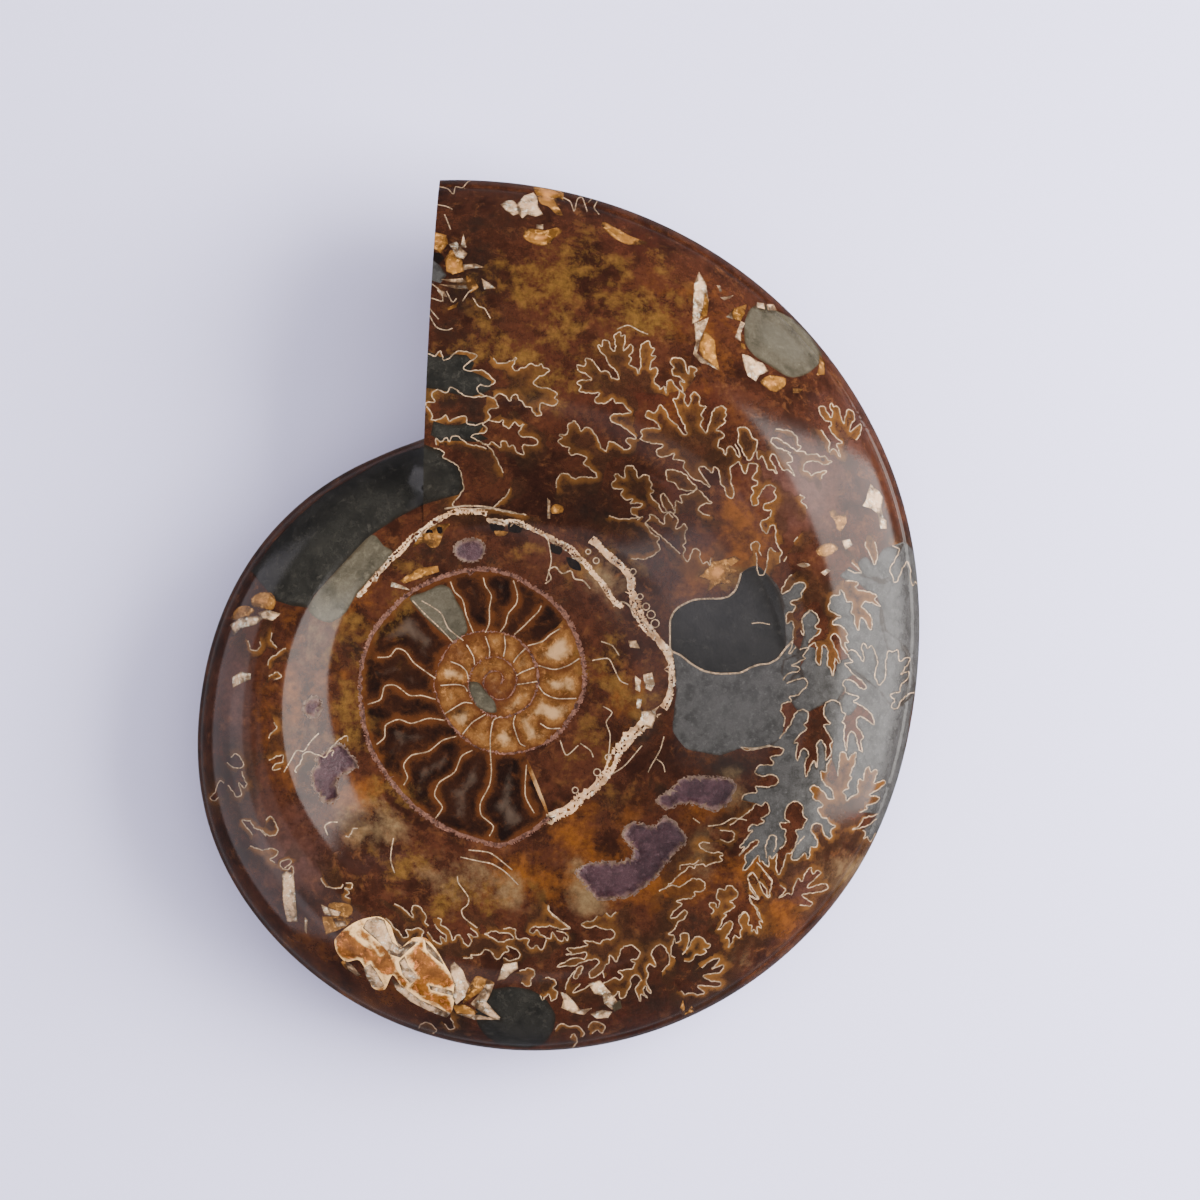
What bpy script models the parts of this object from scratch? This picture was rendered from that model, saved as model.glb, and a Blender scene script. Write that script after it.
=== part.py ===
"""Fossil ammonite, sawn across its mouth and polished all over, lying on one flank.

The shell is one coil, the same on both flanks. A cross-section runs from the coil's centre over the floor of a
shallow dish, up the dish's wall to a ridge, and over the flank down to the keel on the coil's middle plane. The
sections make one turn round the centre and shrink as they go, and the flat saw cut joins the last to the first.
"""

import math
from collections import namedtuple

import bmesh
import bpy
from mathutils import Matrix, Vector

# Lengths are in millimetres from the coil's centre. Angles are clockwise from straight up, seen from above.
MM = 0.001

# The keel is the shell's outline. The first radius is at the saw cut's tip, the last where the cut meets the coil.
KEEL_RADII = (
    (-6.4, 104.1),
    (30.0, 98.7),
    (60.0, 92.9),
    (90.0, 86.5),
    (120.0, 83.5),
    (150.0, 79.5),
    (180.0, 75.4),
    (210.0, 71.2),
    (240.0, 66.8),
    (270.0, 60.4),
    (300.0, 56.2),
    (330.0, 52.7),
    (343.9, 52.2),
)
# The ridge is where the flank meets the wall of the dish.
RIDGE_RADII = (
    (-12.0, 48.0),
    (30.0, 51.8),
    (60.0, 56.8),
    (90.0, 59.6),
    (120.0, 59.4),
    (150.0, 57.4),
    (180.0, 54.0),
    (210.0, 50.3),
    (240.0, 46.7),
    (270.0, 43.1),
    (300.0, 40.7),
    (348.0, 38.3),
)
# How far the flank swells above a plain curve from ridge to keel.
FLANK_SWELL = ((-12.0, 3.8), (40.0, 3.2), (90.0, 1.6), (140.0, 0.8), (200.0, 0.4), (348.0, 0.2))

# Half the shell's thickness at the ridge, as a share of the keel's radius there.
RIDGE_HEIGHT_SHARE = 0.215
SWELL_BELOW_RIDGE = 0.4
FLANK_FULLNESS = 2.4
FLANK_EDGE = 0.6
RIDGE_ROUNDING = 0.4
FOOT_ROUNDING = 0.7

# The dish round the centre. Its heights are above the middle plane.
DISH_RADIUS = 34.5
DISH_RIM_HEIGHT = 7.8
DISH_CENTRE_HEIGHT = 5.6

# The saw cut is a flat upright face through these two points, seen from above.
CUT_INNER = Vector((-14.8, 31.2))
CUT_TIP = Vector((-11.6, 103.4))
CUT_DEG = -12.0
CUT_REACH = 0.14
CUT_FILLET_REACH = 5.0
CUT_FILLET_SHARE = 0.3

# How the shell leans as it lies on its flank, and how deep the flat spots it rests on are ground.
LEAN_X_DEG = 2.8
LEAN_Y_DEG = 0.8
FLAT_DEPTH = 0.35

SECTIONS = 84
INNER_RADII = (7.5, 15.0, 22.5, 28.0, 31.5, 34.5, 36.5)
WALL_STEPS = 3
FLANK_STEPS = 12

BROWN = (0.20, 0.075, 0.025, 1.0)
POLISH_ROUGHNESS = 0.15

Section = namedtuple("Section", "keel ridge ridge_height wall_slope swell")


def clear_scene():
    for item in list(bpy.data.objects):
        bpy.data.objects.remove(item, do_unlink=True)


def smooth_between(table, angle):
    """A value read from a table of (angle, value), on a smooth curve through its points."""
    last = len(table) - 1
    k = max(i for i in range(last) if i == 0 or table[i][0] <= angle)
    before, here = table[max(k - 1, 0)], table[k]
    there, after = table[k + 1], table[min(k + 2, last)]
    span = there[0] - here[0]
    share = (angle - here[0]) / span
    slope_here = (there[1] - before[1]) / (there[0] - before[0]) * span
    slope_there = (after[1] - here[1]) / (after[0] - here[0]) * span
    cube, square = share**3, share**2
    return (
        here[1] * (2 * cube - 3 * square + 1)
        + there[1] * (3 * square - 2 * cube)
        + slope_here * (cube - 2 * square + share)
        + slope_there * (cube - square)
    )


def soft_min(a, b, rounding):
    least = min(a, b)
    return least - rounding * math.log(math.exp((least - a) / rounding) + math.exp((least - b) / rounding))


def soft_max(a, b, rounding):
    return -soft_min(-a, -b, rounding)


def cut_angle(radius):
    """The angle at which the saw cut crosses a circle about the coil's centre."""
    along = (CUT_TIP - CUT_INNER).normalized()
    radius = max(radius, DISH_RADIUS)
    ahead = CUT_INNER.dot(along)
    reach = -ahead + math.sqrt(ahead**2 + radius**2 - CUT_INNER.length_squared)
    x, y = CUT_INNER + along * reach
    return math.degrees(math.atan2(x, y))


def angle_at(turn, radius):
    """The angle of a point of a section. Near the saw cut the sections bend to lie along it."""
    near = max(0.0, 1.0 - min(turn, 1.0 - turn) / CUT_REACH)
    weight = near * near * (3 - 2 * near)
    return 360.0 * turn + CUT_DEG + (cut_angle(radius) - CUT_DEG) * weight


def section_at(turn):
    end_radius = KEEL_RADII[0][1] if turn < 0.5 else KEEL_RADII[-1][1]
    angle = 360.0 * turn + CUT_DEG
    keel = smooth_between(KEEL_RADII, angle_at(turn, end_radius))
    ridge = smooth_between(RIDGE_RADII, angle)
    swell = smooth_between(FLANK_SWELL, angle)
    ridge_height = RIDGE_HEIGHT_SHARE * keel - SWELL_BELOW_RIDGE * swell
    wall_slope = (ridge_height - DISH_RIM_HEIGHT) / (ridge - DISH_RADIUS)
    return Section(keel, ridge, ridge_height, wall_slope, swell)


def skin_height(section, radius):
    """How high the skin stands above the middle plane."""
    share = radius / DISH_RADIUS
    floor = DISH_CENTRE_HEIGHT + (DISH_RIM_HEIGHT - DISH_CENTRE_HEIGHT) * share * share
    wall = DISH_RIM_HEIGHT + section.wall_slope * (radius - DISH_RADIUS)
    out = (radius - section.ridge) / (section.keel - section.ridge)
    out = min(max(out, 0.0), 1.0)
    flank = section.ridge_height * (1.0 - out**FLANK_FULLNESS) ** FLANK_EDGE
    flank += section.swell * 5.4 * out * (1.0 - out) ** 1.5
    if out == 1.0:
        return 0.0
    return soft_min(soft_max(floor, wall, FOOT_ROUNDING), flank, RIDGE_ROUNDING)


def with_fillet(turn, radius, height):
    """The skin's height with the hollow fillet left where the cut stands on the older part of the coil."""
    gap = (1.0 - turn) * 2 * math.pi * radius
    if gap >= CUT_FILLET_REACH or radius <= DISH_RADIUS or height == 0.0:
        return height
    step = max(0.0, skin_height(section_at(0.0), radius) - height)
    return height + step * CUT_FILLET_SHARE * (1.0 - gap / CUT_FILLET_REACH) ** 2


def profile(turn):
    """The upper half of a cross-section as (radius, height), from the first ring out to the keel."""
    section = section_at(turn)
    last_inner = INNER_RADII[-1]
    radii = list(INNER_RADII)
    radii += [last_inner + (section.ridge - last_inner) * step / WALL_STEPS for step in range(1, WALL_STEPS + 1)]
    for step in range(1, FLANK_STEPS + 1):
        share = math.sin(math.pi / 2 * step / FLANK_STEPS)
        radii.append(section.ridge + (section.keel - section.ridge) * share)
    return [(radius, with_fillet(turn, radius, skin_height(section, radius))) for radius in radii]


def place(turn, radius, height):
    angle = math.radians(angle_at(turn, radius))
    return Vector((radius * math.sin(angle), radius * math.cos(angle), height)) * MM


def build_upper_half(mesh):
    """The upper skin from the centre to the keel, and the upper half of the sawn face."""
    centre = mesh.verts.new(Vector((0.0, 0.0, DISH_CENTRE_HEIGHT)) * MM)
    shared = len(INNER_RADII)
    rows = []
    for index in range(SECTIONS + 1):
        turn = index / SECTIONS
        points = profile(turn)
        inner = rows[0][:shared] if turn == 1.0 else [mesh.verts.new(place(turn, *point)) for point in points[:shared]]
        rows.append(inner + [mesh.verts.new(place(turn, *point)) for point in points[shared:]])
    for near, far in zip(rows, rows[1:]):
        mesh.faces.new((centre, near[0], far[0]))
        for step in range(len(near) - 1):
            mesh.faces.new((near[step], near[step + 1], far[step + 1], far[step]))
    newest, oldest = rows[0][shared - 1 :], rows[-1][shared:]
    mesh.faces.new(newest[::-1] + oldest)


def lay_on_flank(mesh):
    """Leans the shell, centres it over the origin, and grinds its lowest spots flat at ground level."""
    lean_x = Matrix.Rotation(math.radians(LEAN_X_DEG), 3, "X")
    lean_y = Matrix.Rotation(math.radians(LEAN_Y_DEG), 3, "Y")
    bmesh.ops.transform(mesh, matrix=(lean_x @ lean_y).to_4x4(), verts=mesh.verts)
    lows = Vector([min(vert.co[axis] for vert in mesh.verts) for axis in range(3)])
    highs = Vector([max(vert.co[axis] for vert in mesh.verts) for axis in range(3)])
    middle = (lows + highs) / 2
    bmesh.ops.translate(mesh, vec=(-middle.x, -middle.y, -lows.z - FLAT_DEPTH * MM), verts=mesh.verts)
    everything = mesh.verts[:] + mesh.edges[:] + mesh.faces[:]
    ground = bmesh.ops.bisect_plane(
        mesh, geom=everything, dist=1e-7, plane_co=(0, 0, 0), plane_no=(0, 0, -1), clear_outer=True
    )
    rims = [item for item in ground["geom_cut"] if isinstance(item, bmesh.types.BMEdge)]
    bmesh.ops.edgeloop_fill(mesh, edges=rims)


def polished_stone():
    material = bpy.data.materials.new("polished_stone")
    material.use_nodes = True
    shader = material.node_tree.nodes["Principled BSDF"]
    shader.inputs["Base Color"].default_value = BROWN
    shader.inputs["Roughness"].default_value = POLISH_ROUGHNESS
    shader.inputs["Metallic"].default_value = 0.0
    return material


def build_ammonite():
    mesh = bmesh.new()
    build_upper_half(mesh)
    everything = mesh.verts[:] + mesh.edges[:] + mesh.faces[:]
    bmesh.ops.mirror(mesh, geom=everything, merge_dist=1e-6, axis="Z")
    lay_on_flank(mesh)
    bmesh.ops.recalc_face_normals(mesh, faces=mesh.faces)
    data = bpy.data.meshes.new("ammonite")
    mesh.to_mesh(data)
    mesh.free()
    data.materials.append(polished_stone())
    data.shade_smooth()
    data.set_sharp_from_angle(angle=math.radians(40.0))
    ammonite = bpy.data.objects.new("ammonite", data)
    bpy.context.scene.collection.objects.link(ammonite)


clear_scene()
build_ammonite()
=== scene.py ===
"""Polished fossil ammonite: the skin of one piece of stone, with the marks that the polish has laid bare.

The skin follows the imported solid. Its flanks are laid out flat round the coil's centre, cut up along the
borders of every mark, and then raised to the shell's height, so each mark keeps a crisp edge and nothing
that is only colour stands proud. Lengths are in millimetres from the coil's centre and angles are clockwise
from straight up.
"""

import math

import bpy
import numpy as np
from bpy.props import FloatProperty, FloatVectorProperty, PointerProperty
from mathutils import Matrix, Vector, geometry, kdtree


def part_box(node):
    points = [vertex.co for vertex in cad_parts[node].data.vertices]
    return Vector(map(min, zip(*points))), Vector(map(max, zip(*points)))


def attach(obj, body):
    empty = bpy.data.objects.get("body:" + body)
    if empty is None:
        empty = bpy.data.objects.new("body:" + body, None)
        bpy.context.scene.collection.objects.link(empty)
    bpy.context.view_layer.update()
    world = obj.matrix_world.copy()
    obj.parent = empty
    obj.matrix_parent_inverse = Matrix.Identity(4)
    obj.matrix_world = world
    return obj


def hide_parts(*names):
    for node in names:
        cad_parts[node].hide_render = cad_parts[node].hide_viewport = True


bl_info = {
    "name": "Fossil Ammonite",
    "version": (1, 0, 0),
    "blender": (4, 5, 0),
    "location": "3D View > Sidebar > Ammonite",
    "description": "A polished fossil ammonite with its suture lines, crystals and shell fragments",
    "category": "Add Mesh",
}

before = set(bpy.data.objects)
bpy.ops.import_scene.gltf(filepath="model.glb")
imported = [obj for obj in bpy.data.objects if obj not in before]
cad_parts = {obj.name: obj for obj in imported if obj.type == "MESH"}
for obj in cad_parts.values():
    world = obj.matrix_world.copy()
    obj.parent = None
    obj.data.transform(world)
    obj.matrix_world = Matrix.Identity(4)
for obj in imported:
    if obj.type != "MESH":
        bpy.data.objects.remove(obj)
MM = 0.001
FULL_TURN = 360.0

# The keel is the shell's outline, and the ridge is where the flank meets the wall of the dish.
KEEL_RADII = (
    (-6.4, 104.1), (30.0, 98.7), (60.0, 92.9), (90.0, 86.5), (120.0, 83.5), (150.0, 79.5), (180.0, 75.4),
    (210.0, 71.2), (240.0, 66.8), (270.0, 60.4), (300.0, 56.2), (330.0, 52.7), (343.9, 52.2),
)
RIDGE_RADII = (
    (-12.0, 48.0), (30.0, 51.8), (60.0, 56.8), (90.0, 59.6), (120.0, 59.4), (150.0, 57.4), (180.0, 54.0),
    (210.0, 50.3), (240.0, 46.7), (270.0, 43.1), (300.0, 40.7), (348.0, 38.3),
)
FLANK_SWELL = ((-12.0, 3.8), (40.0, 3.2), (90.0, 1.6), (140.0, 0.8), (200.0, 0.4), (348.0, 0.2))
RIDGE_HEIGHT_SHARE = 0.215
SWELL_BELOW_RIDGE = 0.4
SWELL_GAIN = 5.4
FLANK_FULLNESS = 2.4
FLANK_EDGE = 0.6
RIDGE_ROUNDING = 0.4
FOOT_ROUNDING = 0.7
DISH_RADIUS = 34.5
DISH_RIM_HEIGHT = 7.8
DISH_CENTRE_HEIGHT = 5.6

# The saw cut is a flat upright face. Inside SLIT_START the newest and oldest whorls are one surface.
CUT_INNER = np.array((-14.8, 31.2))
CUT_TIP = np.array((-11.6, 103.4))
CUT_ALONG = (CUT_TIP - CUT_INNER) / np.linalg.norm(CUT_TIP - CUT_INNER)
CUT_DEG = -12.0
CUT_REACH = 0.14
CUT_FILLET_REACH = 5.0
CUT_FILLET_SHARE = 0.3
SLIT_START = 35.0
NEWEST, EITHER, OLDEST = 1, 0, -1
NO_LEAF = 9.0

LEAN = Matrix.Rotation(math.radians(2.8), 3, "X") @ Matrix.Rotation(math.radians(0.8), 3, "Y")

# A groove runs round just inside the outline.
GROOVE_INSETS = ((-12.0, 1.9), (90.0, 2.2), (150.0, 1.8), (200.0, 1.0), (348.0, 0.9))
GROOVE_HALF_WIDTH = 0.4

# Rows of points laid beside the keel, as insets from it, and beside the ridge.
KEEL_ROWS = (0.0, 0.03, 0.12, 0.3, 0.6, 1.0, 1.4, 1.75, 2.1, 2.45, 2.9, 3.6, 4.5, 5.6, 6.8, 8.0)
ROWS_WITH_EDGES = 6
RIDGE_ROWS = (-1.4, -0.7, -0.25, 0.25, 0.7, 1.4)
FILL_SPACING = 1.15
UNDER_SPACING = 2.0
UNDER_WIDENING = 1.3

# Marks are placed in steps of a square grid seen from the camera, counted right and down from its top
# left corner.
# A stroke parts one mark of a text from the next.
STEP = 0.2055
COIL_STEP = np.array((496.0, 682.0))
MIDDLE_STEP = np.array((600.0, 600.0))
CAMERA_DISTANCE = 900.0
VIEW_WIDTH = 246.4
VIEW_ROUNDS = 3

# How far apart the points lie along each sort of mark.
SUTURE_SPACING = 0.2
WALL_SPACING = 0.45
SHELL_SPACING = 0.5
GRAIN_SPACING = 0.4
AREA_SPACING = 0.6
RIM_ROUGHNESS = 0.8
HOLLOW_RAGGEDNESS = 0.22

# The under flank's marks: where its sutures stand, their spacing, its other lines' spacing and its walls.
UNDER_TURNS = np.arange(0.04, 0.97, 0.043)
UNDER_SUTURE_SPACING = 0.7
UNDER_LINE_SPACING = 0.6
UNDER_WALLS = 28

# Suture lines: the side of the line that the leaf lies on, looking along it, and its points in steps.
SUTURES = (
    ("right", "422,355 428,357 434,355 440,350 443,359 449,357 455,351 462,350 471,352 477,355 470,360"
     " 463,366 467,370 480,369 488,373 491,377 495,380 489,385 480,384 476,387 479,392 485,395 493,397"
     " 497,403 498,406 490,408 487,411 490,415 488,419 482,423 487,428 483,432 474,433 471,436 478,440"
     " 486,444 492,450 496,458 503,472 / 485,395 472,396 463,394 455,388 450,386 446,392 440,389 433,390"
     " 431,396 435,401 429,407 432,414 430,419 440,418 445,414 449,420 455,417 465,415 467,423 475,424"
     " 482,422 / 493,357 497,362 505,362 512,359 516,357 512,366 515,370 521,367 526,366 530,362 535,365"
     " 541,363 543,366 549,369 545,373 538,376 533,381 537,386 545,387 552,389 557,393 554,397 558,400"
     " 553,405 546,403 540,402 539,407 541,414 535,414 530,406 524,405 523,401 519,399 517,394 512,394"
     " 510,400 506,396 502,393 497,393 493,397"),
    ("left", "488,419 497,421 503,419 503,424 509,427 514,421 519,425 524,423 521,427 518,433 524,436"
     " 532,436 538,441 533,445 522,444 524,453 517,452 513,444 509,446 505,440 501,441 500,447 495,443"
     " 491,441 488,444 482,443"),
    ("right", "433,447 440,449 444,452 442,456 449,460 456,464 460,471 462,480 463,488 458,496 452,503"
     " 456,508 465,508 480,508 492,508 500,510 510,512 526,514 / 436,444 435,437 440,441 446,437 449,441"
     " 452,435 458,436 463,440 470,444 478,445 486,448 / 492,508 500,500 507,494 509,488 / 556,487 557,478"
     " 561,473 567,473 574,478 582,476 597,477 594,471 588,466 583,462 587,457 578,453 571,454 568,449"
     " 570,447 561,444 558,440 562,437 559,434 567,433 568,424 574,420 578,425 581,430 587,426 592,430"
     " 597,437 601,447 606,450 609,441 615,442 620,446 627,449 631,446 626,440 628,437 637,438 630,431"
     " 620,424 612,421 610,416 614,413 623,413 632,411 626,407 623,402 616,402 612,397 606,402 598,402"
     " 594,399 600,392 590,392 579,390 581,385 576,382 583,379 592,379 586,373 578,369 577,364 585,365"
     " 586,357 593,360 600,370 607,370 612,377 619,378 616,370 608,362 606,356 600,350 598,344 602,345"
     " 603,339 608,340 611,348 615,350 615,340 614,334 620,331 621,335 625,334 624,343 623,350 628,346"
     " 631,343 633,349 629,354 631,357 629,364 636,367 638,373 641,363 640,351 642,343 649,340 651,347"
     " 655,347 651,354 656,355 651,361 650,369 655,366 658,370 655,376 654,382 659,385 660,389 664,385"
     " 666,393 667,381 671,379 676,386 683,391 682,386 679,380 685,382 680,376 673,374 672,369 674,366"
     " 670,361 673,357 680,357 685,361 686,368 689,374 689,366 694,366 697,369 694,372 695,375 / 640,438"
     " 643,434 640,430 650,427 660,428 656,421 650,418 645,415 648,410 655,412 660,404 666,410 670,419"
     " 677,424 682,432 687,434 685,426 679,414 676,405 673,398 678,397 680,390 685,394 684,400 688,405"
     " 691,401 691,394 695,391 700,397 699,404 703,405 706,406 701,413 703,418 700,424 703,428 706,433"
     " 709,423 711,420 712,412 716,407 722,405 726,408 725,412 727,413 724,418 726,420 722,424 716,429"
     " 722,431 724,435 719,440 718,446 723,449 726,455 727,448 731,445 735,450 739,457 740,452 735,443 /"
     " 744,453 741,446 738,441 739,434 738,428 744,426 750,430 752,437 757,439 757,445 755,451 752,456"
     " 749,460 744,453"),
    ("left", "757,450 758,459 762,455 765,460 768,468 773,469 777,473 775,466 770,458 772,453 776,455"
     " 779,462 783,469 789,469 795,475 791,467 787,462 793,460 791,455 788,452 / 640,438 650,442 660,443"
     " 664,445 657,449 657,454 663,456 670,454 675,452 673,458 680,459 685,461 683,466 687,471 693,478"
     " 700,480 710,486 705,478 700,471 699,466 705,466 712,472 714,466 718,468 720,475 721,483 725,487"
     " 726,493 732,498 734,490 731,482 731,474 730,468 733,464 739,461 743,470 746,473 749,463 757,463"
     " 757,470 752,478 758,480 757,484 752,487 754,492 751,496 753,505 758,503 758,497 762,490 766,485"
     " 771,484 776,487 774,492 777,496 772,501 765,503 764,509 772,510 769,517 761,521 762,528 767,533"
     " 770,526 774,524 776,529 776,539 779,547"),
    ("right", "666,474 667,469 673,469 680,471 687,475 690,480 697,487 692,490 683,489 678,487 675,482"
     " 668,480 666,474"),
    ("left", "697,488 690,493 680,495 683,503 676,500 675,512"),
    ("right", "653,499 658,503 662,511 668,512 673,517 / 661,494 664,493 667,497 672,505 675,512 668,511"
     " 663,505 661,498 661,494 / 700,490 708,499 712,502 704,503 698,508 703,513 710,515"),
    ("left", "653,499 650,494 654,490 650,487 652,483 649,479 649,475 643,474 638,478 636,470 632,465"
     " 625,466 625,474 623,478 618,473 614,475 616,479 611,483 615,488 623,488 621,494 626,499 633,498"
     " 630,503 636,502 643,503 638,507 631,507 632,513 640,517 637,519"),
    ("right", "609,515 618,518 630,518 643,516 / 645,522 650,518 649,514 656,516 660,521 664,524 665,515"
     " 670,511 676,516 678,521 675,528 680,527 684,523 687,528 684,534 686,541 683,545 685,549 683,556"
     " 688,561 691,554 693,549 697,548 700,551 700,558 703,563 707,561 710,565 711,557 / 645,522 655,531"
     " 665,539 680,553 / 645,523 652,533 659,537 657,542 660,548 654,554 645,558 631,558"),
    ("left", "856,439 860,434 862,424 859,424 853,429 850,431 851,424 855,418 853,410 848,409 846,415"
     " 844,423 841,415 839,407 837,405 834,406 832,402 830,405 833,412 832,417 827,411 825,406 821,405"
     " 819,408 822,415 825,419 831,421 832,425 829,426 832,431 836,436 843,442 837,443 839,449 841,457"
     " 837,451 834,448 832,448 830,452 829,448 830,441 827,438 825,434 821,429"),
    ("right", "776,428 782,429 790,430 794,433 797,436 798,444 802,446 797,450 / 771,441 773,437 777,437"
     " 784,441 791,446 797,450 805,451 808,454 817,453 820,456 825,455 828,459 832,461 825,464 821,462"
     " 815,460 807,461 804,465 804,470 808,471 812,474 820,471 827,470 826,472 822,474 822,478 / 771,441"
     " 776,446 784,449 791,452 / 800,494 805,497 801,500 803,503 806,504 807,508 / 794,541 798,536 /"
     " 752,550 751,544 755,541 760,543 759,549 761,554 / 756,552 757,559 757,567 759,574 762,575 765,572"
     " 767,565 768,556 769,549 771,547 774,550 776,551 / 779,547 782,552 780,557 780,562 / 787,556"
     " 784,561"),
    ("left", "792,574 787,579 785,584 782,588 782,593 789,590 793,585 800,581 806,584 804,590 801,593"
     " 802,597 794,600 790,602 796,606 793,611 787,613 787,623 793,620 794,627 793,638"),
    ("right", "793,642 789,654 796,647 / 810,609 806,614 802,618 803,624 804,635 801,630 / 802,618 806,614"
     " 811,610 817,614 819,620 815,627 821,629 820,632 812,638 809,642 / 800,649 809,647 803,655 805,658"
     " 792,665 800,667 798,671 788,673 783,680 / 787,683 794,680 803,678 808,681 805,688 800,692 798,695"
     " 790,696 791,701 783,703 781,711 785,717 784,726"),
    ("left", "866,541 866,545 871,555 875,564 878,554 875,541 / 852,562 858,567 862,572 855,572 848,569 /"
     " 893,545 900,549 895,560 890,569 893,575 894,581 898,580 901,572 905,564 908,561 911,568 911,577"
     " 913,585 916,581 919,585"),
    ("right", "846,580 857,581 859,584 855,586 860,590 868,591 877,595 875,599 881,606 872,602 865,601"
     " 862,606 868,612 872,618 872,629 868,626 866,620 862,617 860,620 859,630 855,623 855,615 851,612"
     " 853,608 852,601 847,601 845,595 842,589 840,589 840,594 833,595 830,598 831,601 828,605 831,611"
     " 841,616 833,620 834,624 841,625 848,633 846,636 849,642 845,642 848,651 851,649 857,652 864,662"
     " 864,654 862,648 864,642 868,648 872,645 875,651 878,661 875,675 880,685 886,676 886,663 889,650"
     " 893,652 898,649 900,661 907,657 911,659 903,671 901,674 909,671 909,677 901,685 900,691 890,694"
     " 895,700 891,707 898,708 901,701 909,694 915,692"),
    ("left", "809,646 815,642 817,648 816,659 820,665 822,654 822,646 825,645 828,649 828,665 831,668"
     " 833,676 835,663 835,657 839,663 840,660 837,651 832,641 831,636 835,633 840,637 842,646 850,657"
     " 853,662 845,663 849,668 854,674 863,681 867,688 861,688 854,681 846,679 843,684 846,688 846,692"
     " 852,694 860,697 854,701 863,706 872,714 875,725 868,720 861,716 857,719 857,725 861,731 864,737"
     " 861,741 863,752 859,748 856,735 851,731 848,738 847,751 844,737 845,725 843,721 846,714 842,711"
     " 841,705 838,701 831,700 826,703 824,711 826,718 831,723 824,725 826,729 829,734 833,741 830,745"
     " 832,752 826,760 826,748 823,741 820,740 817,745 818,755 817,768 814,760 809,771 806,777 805,763"
     " 809,754 805,748 801,751 798,761 796,754 798,743 794,743 799,735 803,732 807,728 804,724 808,720"
     " 808,712 803,709 798,711 795,714 790,725 780,738 / 832,758 828,763 826,772 821,771 822,778 826,785"
     " 832,789 834,798 829,799 824,792 818,787 814,785 810,789 814,794 813,798 821,802 824,805 818,809"
     " 822,817 827,818 830,823 836,826 831,830 832,836 829,839 824,833 822,825 818,823 813,825 811,830"
     " 815,836 818,842 817,847 811,847 810,855 808,859 805,853 799,859 792,860 793,850 801,840 805,836"),
    ("right", "838,776 840,759 841,752 846,753 848,760 852,755 856,752 855,763 850,774 852,777 848,784"
     " 849,788 843,791 846,796 847,801 852,796 858,794 858,784 860,779 864,780 865,771 869,766 871,772"
     " 876,769 878,772 874,783 885,780 885,784 877,790 869,795 880,797 875,803 867,805 867,809 860,812 /"
     " 878,814 872,816 864,818 860,825 852,830 860,828 869,825 877,819 / 863,830 866,833 864,839 868,837"
     " 871,842 876,833"),
    ("left", "790,822 785,818 786,809 790,803 796,801 803,805 803,814 807,819 805,823 802,829 796,830"
     " 798,837 793,852 787,854 784,864 779,875 776,867 777,853 773,859 769,856 769,867 762,861"),
    ("right", "790,822 780,823 782,828 786,830 785,834 786,842 780,849 / 767,858 766,846 770,836 776,836"
     " 776,845 774,852"),
    ("left", "730,825 740,818 752,809 756,803 761,806 765,802 769,805 769,814 761,818 765,821 758,825"
     " 751,825 748,831 753,830 740,847 745,847 739,856 752,842 759,840 758,844 745,856 746,862 743,871"
     " 749,867 758,855 760,862 / 742,748 750,750 770,746 783,748 782,754 770,757 774,762 772,765 760,765"
     " 755,772 762,776 773,774 779,780 775,785 766,787 756,786 757,792 745,794 742,800 / 752,873 748,878"
     " 751,886 759,899 750,896 751,902 758,911 763,923"),
    ("right", "757,878 761,887 763,892 769,898 771,887 772,881 766,874"),
    ("left", "779,898 789,893 792,895 795,884 799,878 802,882 805,874 811,867 813,874 818,870 821,873"
     " 813,881 807,888 821,884 827,884 828,889 820,892 802,895 813,903 810,906 800,905 / 780,885 786,890"
     " 779,898"),
    ("right", "740,918 745,912 749,917"),
    ("left", "749,895 754,898 759,900 751,890 749,882 748,876 753,872 756,876 758,880 766,888 768,897"
     " 771,888 772,880 766,873 762,868 757,862"),
    ("right", "711,914 713,913 714,910 710,907 710,903 715,903 717,908 719,907 720,902 717,899 717,893"
     " 719,889 725,890 727,886 733,886 734,889 738,892 737,897 733,900 729,901 732,903 735,906 732,909"
     " 727,912 723,914 727,915 723,919 720,927 717,930 722,928 726,923 730,921 733,924 731,930 727,936"
     " 725,939 729,938 729,944 728,948 732,943 735,935 738,938 741,937 740,931 743,929 740,924 739,917"
     " 744,912 749,916 748,924 752,926 751,932 754,930 758,934 757,926 762,929 759,921 763,922 758,915"
     " 757,908 752,903 750,896 / 659,891 664,889 672,885 679,887 686,883 692,879 699,879 704,882 705,888"
     " 702,891 694,892 695,895 692,898 683,899 676,901 682,904 678,908 674,911 670,917 675,918 680,914"
     " 684,910 687,913 684,919 678,922 674,930 668,934 674,936 673,943 671,948 671,955 675,958"),
    ("left", "664,889 672,882 679,875 686,870 689,866 694,868 696,865 703,864 706,866 712,863 718,862"
     " 723,860 719,857 723,855 720,852 712,853 706,851 701,848 699,844 704,842 710,843 / 680,870 680,866"
     " 685,864 693,864 699,860 / 720,830 731,831 735,834 732,841 727,842 720,839"),
    ("right", "674,936 676,943 681,940 680,935 684,933 688,934 689,940 686,950 682,955 689,947 694,938"
     " 699,937 703,938 705,942 710,945 709,948 703,949 707,952 700,955 695,955 692,961 684,961 / 662,972"
     " 668,965 670,958 664,946 659,945 655,947 651,954 654,960 656,967 650,964 646,968 648,974 646,983"
     " 650,990 651,994 647,990 645,985 643,992 647,998 641,994 640,1002 637,994 635,990 638,985 641,980"
     " 638,975 633,976 630,980 631,984 628,990 624,998 620,998 619,992 616,994 613,997 / 602,984 609,981"
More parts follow.
